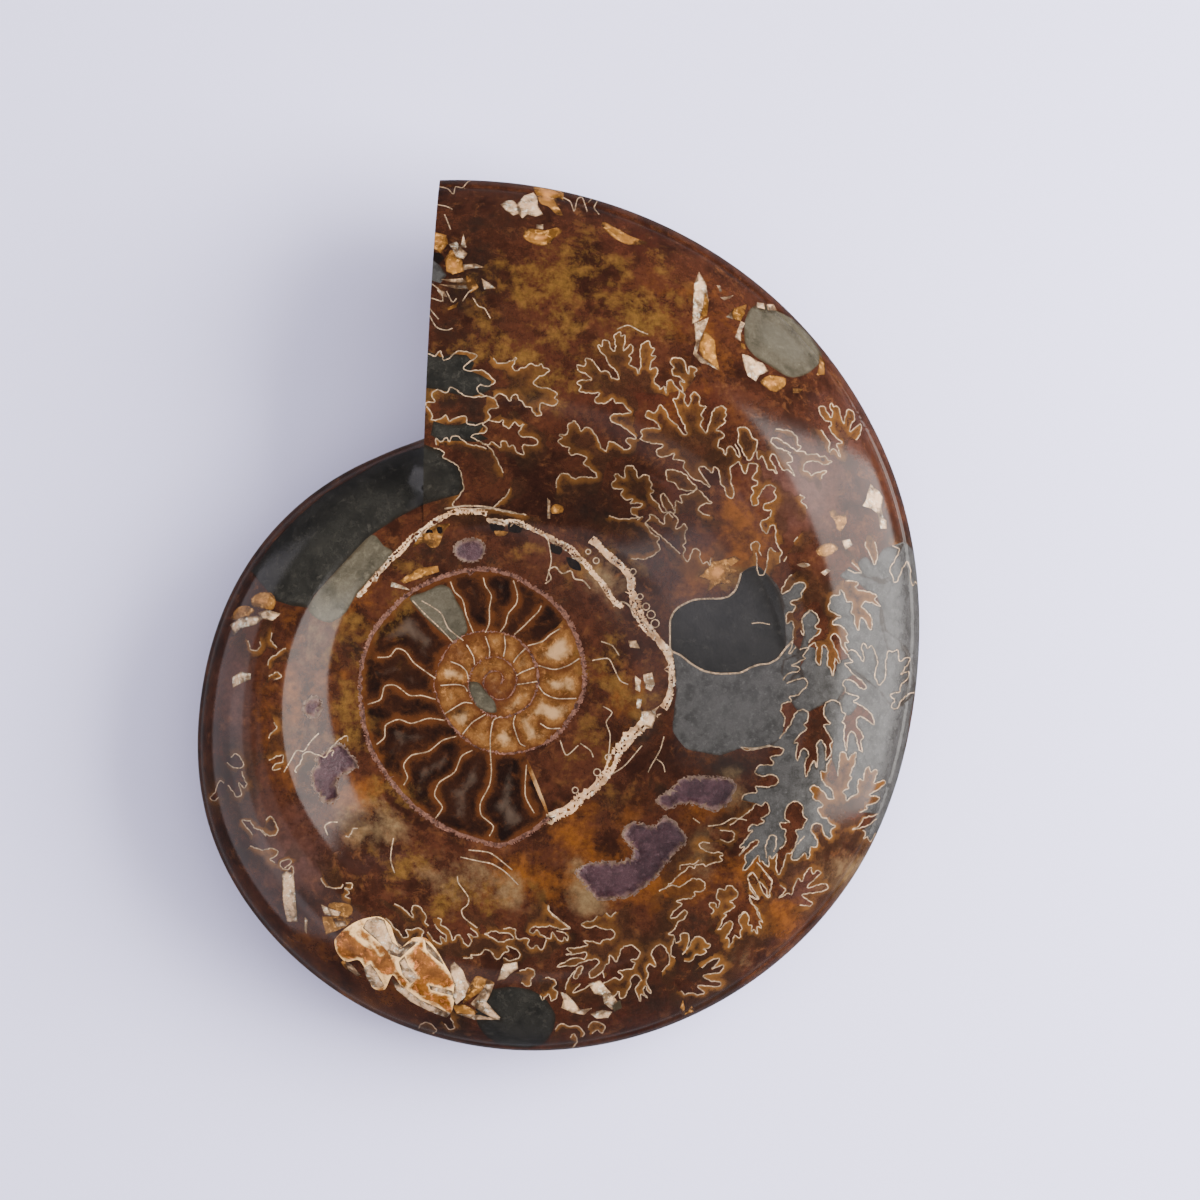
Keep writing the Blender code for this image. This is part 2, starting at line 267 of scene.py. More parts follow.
     " 614,978 620,980 623,976 618,972 624,970 632,969 635,963 630,960 637,959 640,953 636,948 631,945"
     " 626,946 621,949 619,956 616,962 612,957 609,955 609,962 605,966 602,972"),
    ("left", "702,968 706,964 712,960 719,958 718,963 712,969 722,965 724,968 719,973 710,974 703,976"
     " 711,981 720,982 721,985 717,987 706,986 697,986 703,991 704,994 698,995 690,993 685,995 681,991"),
    ("right", "606,913 610,917 616,912"),
    ("left", "597,916 593,921 585,922 581,925 588,928 595,926 603,929 612,930 615,934 612,939 603,940"
     " 600,944 594,942 583,941 588,945 577,948 566,949 572,953 565,955 576,954 584,952 587,955 584,959"
     " 574,958 567,961 556,967 566,966 574,966 582,962 590,960 597,959 599,963 594,968 589,973 590,978"
     " 597,976 602,972 604,978"),
    ("right", "565,990 568,980 574,972 578,968 583,966 580,974 576,979 573,978 576,971 / 580,984 572,993"
     " 582,990 590,985 / 548,905 550,913 560,921 570,928 560,929 551,926 542,927 532,927 529,931 533,934"
     " 536,930 541,935 550,939 552,932 557,939 562,942 564,937 567,941 568,936 562,932 556,931"),
    ("left", "546,940 544,947 540,950 536,945 532,949 527,945 529,940 524,938 519,940 515,936 515,930"
     " 510,928 503,929 / 484,934 494,931 500,933 508,933 514,938 508,940 502,942 496,941 490,937 484,934 /"
     " 463,958 472,958 470,955 479,955 484,950 490,951 494,957 498,960 502,954 508,951 506,946 515,949"
     " 520,954 518,958 510,961 503,958"),
    ("right", "519,971 524,970 528,968 534,971 534,976 530,980 531,985 526,986 521,983 / 545,978 548,978"
     " 554,980 556,985 552,988 557,992 556,998 551,1001 549,994 545,997 542,1000 540,996 / 437,918 441,920"
     " 440,925 446,928 450,933 452,941 456,936 460,936 464,944 469,946 471,940 467,934 474,937 478,936"
     " 473,930 470,928 / 427,932 431,938 436,943 441,944 440,936 446,942 445,935 438,930 434,924 / 394,904"
     " 402,908 408,914 413,918 411,910 414,905 421,909 426,918 424,922 428,926 / 385,918 391,924 394,929"
     " 399,932 402,938 408,936 405,930 411,930 418,928 423,932 420,938 / 555,1030 560,1024 570,1027"
     " 577,1026 584,1033 582,1037 / 588,1028 592,1022 600,1023 605,1027 602,1033 596,1030 592,1034 /"
     " 570,1038 574,1034 577,1042 572,1048 / 418,1029 421,1024 428,1023 436,1030 432,1034 / 444,1024"
     " 449,1030 454,1028 452,1022 450,1018 / 284,868 291,862 288,859 281,861 279,866 286,870 291,866"
     " 293,872 289,878 / 249,846 262,850 270,848 277,851 275,856 269,859 274,863 / 265,820 270,816 274,822"
     " 277,830 274,835 267,835 261,830"),
    ("left", "252,835 243,824 241,820 249,821 254,828 260,830 265,836 / 230,757 235,753 240,758 243,765"
     " 238,768 230,766 226,762 / 241,771 243,778 246,784 243,788 238,782 239,788 241,794 236,797 231,790"
     " 227,785 / 218,797 213,801 209,798 214,792 216,786 219,780 223,783"),
    ("right", "267,665 269,658 276,654 280,650 285,648 / 268,676 276,672 281,676 274,679"),
    ("left", "273,722 276,728 270,733 268,738 / 268,760 276,756 283,755 281,762 274,764 272,770 280,768 /"
     " 340,738 330,748 324,757 310,752 303,753 300,762 294,770 296,772"),
    ("right", "247,640 250,649 256,650 260,645 259,641 / 271,632 270,640 276,647 / 340,739 346,735 347,741"
     " / 328,752 332,750 331,756 / 345,883 352,884 350,889 344,888 349,893 344,896 350,899"),
    ("left", "320,878 325,886 334,888 340,888 342,884 / 345,836 349,836 352,829 357,828"),
)

# Walls of the inner chambers: thin pale lines.
CHAMBER_WALLS = (
    "450,581 454,591 462,599 466,615 473,632 / 483,577 485,585 491,595 489,607 489,622 485,632 / 513,580"
    " 517,593 516,603 508,613 505,624 500,631 / 541,605 538,611 529,620 523,626 514,634 / 560,628 550,634"
    " 542,641 528,645 / 421,600 440,612 448,628 463,640 / 412,600 426,615 440,628 452,641 / 377,657"
    " 389,656 396,648 405,651 413,662 425,671 435,678 / 367,704 380,699 384,686 395,685 409,695 421,695"
    " 435,699 / 376,744 384,737 385,725 398,719 411,723 428,718 444,720 / 403,785 407,777 403,765 411,755"
    " 428,751 442,740 456,736 / 435,818 442,807 434,795 439,782 454,772 461,756 472,750 / 489,836 493,826"
    " 481,815 480,803 489,785 491,771 490,753 / 526,765 525,795 534,813 / 538,665 554,669 568,665 579,658"
    " / 538,685 544,693 556,698 576,698 / 540,723 548,728 560,728 / 515,715 513,724 519,742 525,746 /"
    " 501,716 493,720 490,736 490,752 / 485,714 472,722 462,734 / 472,703 464,702 456,706 445,713 /"
    " 467,691 464,686 456,684 440,685 / 468,679 466,671 460,665 450,661 / 474,664 473,656 466,644 /"
    " 489,656 489,648 485,636 / 503,656 505,646 504,635 / 513,662 517,656 525,648 / 516,675 523,671"
    " 534,667 / 517,684 525,683 537,681 / 393,838 391,848 390,860 394,873 / 457,876 458,883 468,897"
    " 467,905 461,910 463,917 470,923 477,928 / 468,850 490,853 512,870 / 460,857 478,861 492,864 505,872"
    " 518,885 / 548,905 548,910 556,917 570,929 / 592,660 608,658 614,668 620,680 628,684 / 603,706"
    " 612,712 606,722 610,735 608,760 / 560,740 566,755 578,745 / 657,759 663,764 665,772 / 664,736"
    " 660,750 652,764 648,772 / 580,743 590,750 593,757 / 610,775 625,765 642,745 / 548,540 551,560"
    " 546,580 / 747,820 733,818 722,824 708,826 / 693,818 700,823 / 741,747 755,748 770,745 / 601,641"
    " 612,645 619,655 / 752,623 760,622 770,624 / 318,733 310,741 303,751 296,750 290,760 283,772 /"
    " 327,835 324,826 330,822 337,822 / 431,190 438,187 447,187 453,193 455,185 462,186 468,180 477,177 /"
    " 437,207 446,205 452,208 / 444,213 447,220 450,228 / 563,196 570,200 574,210 577,198 582,196 587,210"
    " / 617,328 628,324 640,330 648,333 / 588,201 593,197 598,198 594,206 599,213 / 425,318 432,320"
    " 436,326 446,329 452,327 / 473,297 478,305 484,307 490,317 / 433,288 440,290 442,300 434,304 431,311"
    " 438,318 / 446,290 452,301 456,297 / 462,300 468,291 473,288"
)
# Bands of layered shell and granular shell: half their width, and their centre lines.
SHELL_BANDS = (
    (2.6, "357,597 370,582 384,565 400,549 409,541 425,528 444,515 464,510 486,513"),
    (2.6, "486,520 500,521 515,522 530,528 543,534 558,542 572,551 586,565 601,582 613,600 620,607"),
    (3.6, "591,538 601,548 610,557 622,567 630,576 630,589 634,602 639,614 646,625 654,635 662,645 668,654"
     " 671,665 672,677 671,688 668,698 662,707"),
    (4.4, "656,712 645,720 633,733 625,742 618,752 611,764 604,776 596,786 584,796 572,805 560,812"
     " 548,818"),
    (0.8, "444,508 465,505 486,506 500,509 515,512"),
    (0.85, "741,573 739,581 735,590 728,596 719,598 708,598 695,599 687,602 678,607 673,613 670,621 670,633"
     " 670,644 671,650 681,655 691,663 703,670 716,673 730,673 741,672 751,667 760,664 769,663 778,658"
     " 785,649 793,640"),
    (0.7, "545,583 551,578 548,570 555,566 562,573 571,570 574,578 583,580 590,588"),
    (0.7, "613,606 622,601 630,606 634,616 644,622 652,632"),
)
GRANULAR_BANDS = (
    (2.2, "548,818 525,835 500,845 470,838 440,825 413,806 390,780 372,752 363,722 360,690 362,660 372,632"
     " 390,610 412,590 440,577 465,570 490,569 512,575 530,585 549,598 565,615 576,636 583,660 584,683"
     " 580,700 570,717 558,733 545,743"),
    (0.9, "545,743 524,751 500,753 478,747 460,735 447,720 440,705 435,692 434,678 440,661 450,645 462,636"
     " 476,632 493,631 510,635 520,641 528,650 536,664 538,679 535,693 527,706 514,714 500,717 490,715"),
    (0.7, "490,715 478,707 470,695 468,681 472,669 480,661 490,657 501,658 510,664 516,676 514,689 507,697"
     " 497,699 488,693 483,684 485,676 491,671 499,672 503,678 500,684"),
)

STRANDED_WIDTH = 2.0
# Small bubbles of shell beside the bands: middle and radius in steps.
SHELL_LOOPS = (
    (646, 606, 3.5), (651, 614, 4), (655, 623, 4), (633, 571, 3), (596, 560, 3), (575, 790, 3),
    (597, 772, 3.5),
    (608, 757, 3), (640, 596, 3), (588, 551, 2.5),
)

# Areas with an edge of their own, as (kind, crisp or rounded, outline in steps). A later one lies over an
# earlier one.
AREAS = (
    ("honey", "rounded", "545,743 560,730 572,714 581,698 584,683 583,660 576,636 565,615 549,598 530,585"
     " 512,575 490,569 465,570 440,577 412,590 390,610 372,632 362,660 360,690 363,722 372,752 390,780"
     " 413,806 440,825 470,838 500,845 525,835 548,818 540,790 530,765 524,751"),
    ("dark_chamber", "rounded", "565,615 549,598 530,585 512,575 490,569 465,570 440,577 412,590 390,610"
     " 372,632 362,660 360,690 363,722 372,752 390,780 413,806 440,825 470,838 500,845 525,835 546,818"
     " 538,795 528,770 524,751 500,753 478,747 460,735 447,720 440,705 435,692 434,678 440,661 450,645"
     " 462,636 476,632 493,631 510,635 528,645 546,636"),
    ("pale_slate", "rounded", "409,598 425,591 440,584 450,588 456,600 463,612 467,630 456,640 446,636"
     " 430,622 / 468,683 478,682 486,692 494,701 496,712 484,711 474,703"),
    # Small holes are left flat and painted dark: painted shade inside them.
    ("dark_hole", "rounded", "421,531 430,527 433,535 425,541 / 490,520 504,522 503,530 491,530 / 508,523"
     " 522,524 520,532 509,531"),
    ("gold", "rounded", "412,546 424,530 437,524 450,523 444,530 438,545 430,547 424,542"),
    ("deep_slate", "crisp", "424,352 440,356 455,353 466,354 474,362 470,370 480,374 491,380 490,388"
     " 484,392 470,396 450,392 436,388 424,392 / 433,420 446,424 458,424 470,420 484,424 478,432 488,438"
     " 476,441 458,440 440,440 430,434"),
    ("shell", "crisp", "352,934 362,924 372,917 384,919 391,930 398,944 405,948 397,956 388,950 380,956"
     " 370,944 360,940"),
    ("dark_hole", "rounded", "424,531 430,528 433,533 429,538 / 436,527 441,526 442,532 438,533"),
    ("gold", "crisp", "697,576 710,565 706,560 720,560 735,555 741,559 729,567 738,570 725,577 733,582"
     " 718,584 706,592 710,580"),
    ("dark_hole", "rounded", "550,543 562,547 560,554 551,551 / 566,556 578,561 581,570 570,567"),
    ("slate", "rounded", "741,573 739,581 735,590 728,596 719,598 708,598 695,599 687,602 678,607 673,613"
     " 670,621 670,633 674,660 676,690 674,712 673,731 686,748 702,752 720,755 735,750 742,748 756,749"
     " 770,746 780,738 783,733 784,726 785,717 781,711 783,703 791,701 798,695 805,688 808,681 803,678"
     " 794,680 787,683 798,671 800,667 792,665 805,658 803,655 809,647 800,649 793,642 793,638 794,627"
     " 793,620 787,623 787,613 793,611 796,606 790,602 794,600 802,597 804,590 806,584 800,581 793,585"
     " 789,590 782,593 778,585 768,574 758,565 749,567"),
    ("slate", "crisp", "780,738 790,725 795,714 798,711 803,709 808,712 808,720 804,724 807,728 803,732"
     " 799,735 794,743 798,743 796,754 798,761 801,751 805,748 809,754 805,763 806,777 809,771 814,760"
     " 817,768 818,755 817,745 820,740 823,741 826,748 826,760 832,758 828,763 826,772 821,771 822,778"
     " 826,785 832,789 834,798 829,799 824,792 818,787 814,785 810,789 814,794 813,798 821,802 824,805"
     " 818,809 822,817 827,818 830,823 836,826 831,830 832,836 829,839 824,833 822,825 818,823 813,825"
     " 811,830 815,836 818,842 817,847 811,847 810,855 808,859 805,853 799,859 792,860 793,850 798,837"
     " 796,830 802,829 805,823 807,819 803,814 803,805 796,801 790,803 786,809 785,818 790,822 780,823"
     " 782,828 786,830 785,834 786,842 780,849 777,853 773,859 769,856 769,867 762,861 760,862 758,855"
     " 749,867 743,871 746,862 745,856 758,844 759,840 752,842 739,856 745,847 740,847 753,830 748,831"
     " 751,825 758,825 765,821 761,818 769,814 769,805 765,802 761,806 756,803 742,800 745,794 757,792"
     " 756,786 766,787 775,785 779,780 773,774 762,776 755,772 760,765 772,765 774,762 770,757 782,754"
     " 783,748 770,746 / 846,580 857,581 859,584 855,586 860,590 868,591 877,595 875,599 881,606 872,602"
     " 865,601 862,606 868,612 872,618 872,629 868,626 866,620 862,617 860,620 859,630 855,623 855,615"
     " 851,612 853,608 852,601 847,601 845,595 842,589 840,589 840,594 833,595 830,598 831,601 828,605"
     " 831,611 841,616 833,620 834,624 841,625 848,633 846,636 849,642 845,642 848,651 851,649 857,652"
     " 864,662 864,654 862,648 864,642 868,648 872,645 875,651 878,661 875,675 880,685 886,676 886,663"
     " 889,650 893,652 898,649 900,661 907,657 911,659 903,671 901,674 909,671 909,677 901,685 900,691"
     " 890,694 895,700 891,707 898,708 901,701 909,694 915,692 908,735 898,785 888,830 876,833 871,842"
     " 868,837 864,839 866,833 863,830 869,825 878,814 860,812 867,809 867,805 875,803 880,797 869,795"
     " 877,790 885,784 885,780 874,783 878,772 876,769 871,772 869,766 865,771 864,780 860,779 858,784"
     " 858,794 852,796 847,801 846,796 843,791 849,788 848,784 852,777 850,774 855,763 856,752 852,755"
     " 848,760 846,753 841,752 840,759 838,776 832,758 833,741 829,734 826,729 824,725 831,723 826,718"
     " 824,711 826,703 831,700 838,701 841,705 842,711 846,714 843,721 845,725 844,737 847,751 848,738"
     " 851,731 856,735 859,748 863,752 861,741 864,737 861,731 857,725 857,719 861,716 868,720 875,725"
     " 872,714 863,706 854,701 860,697 852,694 846,692 846,688 843,684 846,679 854,681 861,688 867,688"
     " 863,681 854,674 849,668 845,663 853,662 850,657 842,646 840,637 835,633 831,636 824,640 815,642"
     " 820,632 821,629 815,627 819,620 817,614 811,610 806,604 812,592 826,584 / 850,566 860,573 872,576"
     " 884,580 893,575 890,569 895,560 900,549 893,545 905,541 917,552 923,575 924,620 922,660 915,692"
     " 909,694 909,671 911,659 907,657 900,661 898,649 893,652 889,650 886,640 881,620 881,606 877,595"
     " 868,591 857,581 846,580 840,575 / 804,635 809,646 817,648 816,659 820,665 822,654 822,646 828,649"
     " 828,665 831,668 833,676 835,663 839,663 840,660 850,657 853,662 845,663 849,668 854,674 846,679"
     " 843,684 846,688 838,701 831,700 826,703 808,712 798,711 791,701 798,695 805,688 808,681 803,678"
     " 800,667 805,658 803,655 809,647 800,649 / 881,606 872,602 865,601 862,606 868,612 872,618 872,629"
     " 868,626 866,620 862,617 860,620 859,630 855,623 855,615 851,612 853,608 852,601 847,601 845,595"
     " 842,589 840,589 840,594 833,595 830,598 831,601 828,605 831,611 841,616 833,620 834,624 841,625"
     " 848,633 846,636 849,642 845,642 848,651 853,662 845,663 880,690 895,710 915,692 912,659 900,640"
     " 886,630 / 803,632 802,620 804,613 809,609 814,611 817,615 819,620 815,627 818,630 814,637 810,642"
     " 806,647 801,652 798,658 800,648 804,640"),
    ("slate", "rounded", "848,566 856,570 862,572 858,562 866,556 872,562 875,563 878,556 884,548 893,545"
     " 905,541 900,549 895,560 890,569 893,578 884,582 872,578 860,574"),
    ("slate", "crisp", "784,660 795,655 803,655 800,667 803,678 787,683 782,672"),
    ("slate", "rounded", "838,701 846,692 852,694 860,697 854,701 858,705 850,715 843,713 841,705"),
    ("stone", "crisp", "846,580 857,581 859,584 855,586 860,590 868,591 877,595 875,599 881,606 872,602"
     " 865,601 862,606 868,612 872,618 872,629 868,626 866,620 862,617 860,620 859,630 855,623 855,615"
     " 851,612 853,608 852,601 847,601 845,595 842,589 840,589 834,580 / 845,578 826,582 812,590 806,604"
     " 811,610 817,614 819,620 815,627 818,630 815,637 811,642 813,645 815,645 816,652 818,664 821,664"
     " 822,654 822,646 825,644 828,649 828,660 829,668 831,668 833,676 836,670 837,663 840,662 838,652"
     " 832,646 830,640 831,636 835,633 840,637 842,646 845,651 846,656 849,651 845,642 849,642 846,636"
     " 848,633 841,625 834,624 833,620 841,616 831,611 828,605 831,601 830,598 833,595 840,594 840,589"
     " 842,589"),
    # The slate in the bowl of the dish is darker than the other slate: painted shade on the dish's wall.
    ("bowl_slate", "rounded", "741,573 739,581 735,590 728,596 719,598 708,598 695,599 687,602 678,607"
     " 673,613 670,621 670,633 670,644 671,650 681,655 691,663 703,670 716,673 730,673 741,672 751,667"
     " 760,664 769,663 778,658 785,649 786,640 785,620 782,603 778,590 768,576 758,567 749,568"),
    ("deep_slate", "crisp", "425,445 410,449 385,458 355,475 325,492 298,515 272,542 258,562 250,570"
     " 262,585 275,600 290,605 307,607 314,594 330,576 350,556 371,534 395,518 420,505 445,497 458,494"
     " 463,488 462,480 460,471 456,464 449,460 442,456 444,452 440,449 433,447"),
    ("pale_slate", "rounded", "371,534 383,545 392,552 372,575 355,595 345,612 330,622 316,618 307,608"
     " 318,590 345,560 / 745,320 751,307 763,303 776,309 793,318 810,334 822,353 818,364 805,374 789,376"
     " 772,366 755,355 745,341"),
    ("deep_slate", "rounded", "475,1012 479,1000 492,990 510,987 530,990 545,999 555,1015 553,1030 545,1042"
     " 530,1048 505,1046 488,1038 478,1026"),
    ("slate", "crisp", "434,262 441,266 446,274 440,282 427,284 428,272"),
    ("dark_hole", "crisp", "430,256 440,252 444,257 438,263 432,263"),
    ("gold", "crisp", "432,245 436,236 446,234 448,242 440,252 433,252 / 444,258 450,248 456,250 462,260"
     " 464,270 452,273 446,270"),
    ("shell", "crisp", "448,243 456,240 462,248 467,252 463,258 456,256 452,248 / 460,246 463,232 466,246 /"
     " 463,263 474,262 484,266 472,267 463,269 / 440,278 462,277 466,281 452,281 / 438,283 460,284 472,283"
     " 470,288 454,287 / 481,277 488,281 495,287 484,288"),
    ("gold", "crisp", "466,274 474,278 478,286 470,292 466,284"),
    ("shell", "crisp", "436,288 444,290 447,296 440,294"),
    ("gold", "crisp", "446,307 458,301 456,306 448,309"),
    ("shell", "crisp", "500,203 507,199 513,199 519,205 520,212 513,214 505,209 / 517,202 524,194 533,191"
     " 537,196 538,205 543,213 535,215 527,213 522,217 518,212"),
    ("gold", "rounded", "530,180 540,182 552,184 563,189 563,198 556,196 558,205 563,214 556,213 548,205"
     " 540,202 536,193 / 525,229 534,227 545,229 556,226 562,230 555,236 550,242 540,245 528,240 523,236"),
    ("shell", "crisp", "536,223 543,223 543,228 536,227"),
    ("gold", "rounded", "601,223 606,221 629,234 648,242 627,243 610,234"),
    ("shell", "crisp", "694,284 699,270 706,282 709,301 707,314 698,320 692,323 693,303"),
    ("gold", "crisp", "705,290 709,301 707,314 699,319 703,306"),
    ("shell", "crisp", "694,322 700,320 709,316 705,328 700,340 697,352 703,357 716,365 720,370 709,364"
     " 701,362 693,353 696,341"),
    ("gold", "crisp", "705,330 711,334 715,340 716,353 720,370 712,364 704,358 699,350 700,340 / 726,316"
     " 734,307 747,303 745,312 741,320 736,319"),
    ("shell", "crisp", "726,316 731,311 733,318 / 741,320 745,322 741,332 741,340 735,337 738,328"),
    ("gold", "crisp", "741,342 745,343 746,348 741,347"),
    ("shell", "crisp", "742,353 748,354 758,360 763,362 769,370 760,374 756,380 748,375 744,364"),
    ("gold", "rounded", "760,380 770,374 778,375 786,377 785,385 776,391 768,388"),
    ("shell", "crisp", "757,301 764,302 765,308 757,306 / 767,303 774,303 777,309 768,309"),
    ("gold", "crisp", "820,354 825,360 825,374 817,374 819,365 / 793,387 803,388 800,392 793,392"),
    ("shell", "crisp", "717,284 720,284 722,290 720,291 / 720,296 734,294 730,297 724,299"),
    ("gold", "rounded", "550,507 556,503 563,506 562,512 552,513"),
    ("shell", "crisp", "547,497 550,500 550,518 547,518"),
    ("gold", "rounded", "422,533 438,533 436,540 426,543 / 494,530 508,531 504,535 496,535"),
    ("shell", "crisp", "643,674 652,672 655,684 651,691 645,688 / 635,675 641,680 640,692 635,689 / 637,698"
     " 642,699 640,708 636,708 / 628,640 636,640 640,648 630,647"),
    ("gold", "crisp", "399,580 408,573 420,567 437,565 439,571 424,576 412,580 404,583"),
    ("shell", "crisp", "391,581 402,585 411,590 400,588 390,586 / 641,711 651,710 656,716 652,728 644,724 /"
     " 871,483 880,491 883,496 882,508 884,517 887,520 887,528 881,528 878,513 872,508 863,505 867,498"
     " 868,491"),
    ("gold", "crisp", "829,511 834,508 839,514 846,513 847,522 841,532 837,528 835,520 831,515"),
    ("gold", "rounded", "816,550 822,544 832,542 839,547 834,552 827,556 820,555"),
    ("shell", "crisp", "842,540 850,538 853,544 846,549"),
    ("shell", "rounded", "797,564 804,562 811,564 804,567"),
    ("shell", "crisp", "821,572 825,575 831,570 827,568"),
    ("gold", "rounded", "250,598 258,592 270,592 275,600 272,609 262,608 252,606 / 230,618 236,607 246,605"
     " 254,610 248,616 236,620"),
    ("shell", "crisp", "229,624 240,617 256,615 262,618 255,624 240,628 233,635 / 257,612 266,609 280,613"
     " 272,620 260,618 / 231,677 240,671 250,673 250,679 240,683 232,687 / 281,874 286,871 293,874 297,922"
     " 286,922 282,900 / 304,917 307,920 306,934 303,930"),
    ("gold", "rounded", "327,905 336,902 350,905 352,912 346,918 332,918"),
    ("shell", "crisp", "320,904 330,909 340,912 338,916 324,915"),
    ("gold", "crisp", "321,916 336,917 352,919 346,926 338,930 325,935"),
    ("shell", "crisp", "334,922 344,921 346,926 336,927"),
    ("amber", "rounded", "334,940 343,930 355,922 366,918 380,917 390,926 394,938 400,948 412,938 425,938"
     " 436,950 444,964 452,978 455,992 450,1014 436,1008 418,1000 402,988 392,975 384,990 372,988 366,972"
     " 358,960 345,962 336,952"),
    ("shell", "crisp", "366,920 376,917 384,920 388,932 392,942 400,948 412,941 418,942 408,950 400,958"
     " 390,955 380,944 370,935 362,928"),
    ("gold", "rounded", "340,962 346,962 356,972 362,978 355,975 346,970"),
    ("shell", "crisp", "344,960 352,966 360,975 356,976 347,969 / 363,968 370,964 376,972 384,986 380,988"
     " 372,987 366,978 / 398,962 404,956 408,966 418,978 410,984 402,975 / 390,978 400,985 420,1000"
     " 438,1008 450,1014 446,1018 430,1012 410,1002 396,990 / 424,940 432,948 440,958 444,966 434,958"
     " 426,950 / 450,965 454,962 462,970 466,980 474,988 466,996 456,1005 452,998 454,985 450,975 / 428,985"
     " 436,987 452,991 453,996 440,993 430,990"),
    ("gold", "rounded", "470,984 476,976 484,978 494,983 488,990 478,994 468,1000 462,1004"),
    ("shell", "crisp", "478,995 486,984 494,984 490,995 486,1002 500,1018 496,1020 480,1012 470,1004"),
    ("gold", "crisp", "452,1006 462,1004 478,1012 470,1018 456,1014"),
    ("shell", "crisp", "456,1014 478,1015 500,1020 474,1020 / 499,974 503,964 517,962 518,969 510,974"
     " 505,979 497,981 / 560,992 566,994 574,1002 580,1010 592,1008 584,1015 572,1013 561,1008 563,1000 /"
     " 588,984 600,980 606,988 612,994 620,1006 612,1010 604,1004 602,996 594,994"),
    ("pale_slate", "crisp", "612,1006 620,1000 622,1008 614,1012"),
    ("shell", "crisp", "590,1014 602,1010 612,1012 608,1018 596,1019"),
    ("gold", "crisp", "680,1008 683,1000 686,1012 692,1006 694,1012 684,1016"),
)
# Shallow hollows lined with small crystals: how deep each is, as a share, and its edge.
HOLLOWS = (
    (0.6, "455,545 462,540 474,539 483,544 484,553 476,559 464,560 456,554"),
    (0.5, "303,706 308,699 315,697 320,702 319,712 312,717 305,713"),
    (0.9, "338,744 344,748 352,757 356,767 345,772 336,778 335,787 338,795 329,803 318,795 313,785 311,773"
     " 317,765 318,757 326,750"),
    (1.3, "577,872 585,865 600,862 616,863 632,858 633,848 622,834 632,823 645,825 655,826 667,818 686,838"
     " 672,855 660,870 645,885 630,895 600,899 588,888"),
    (0.9, "656,800 672,790 683,778 705,777 733,781 730,800 715,810 695,803 680,803 668,808"),
)
HOLLOW_SLOPE = 0.9
HOLLOW_RIM = 0.3
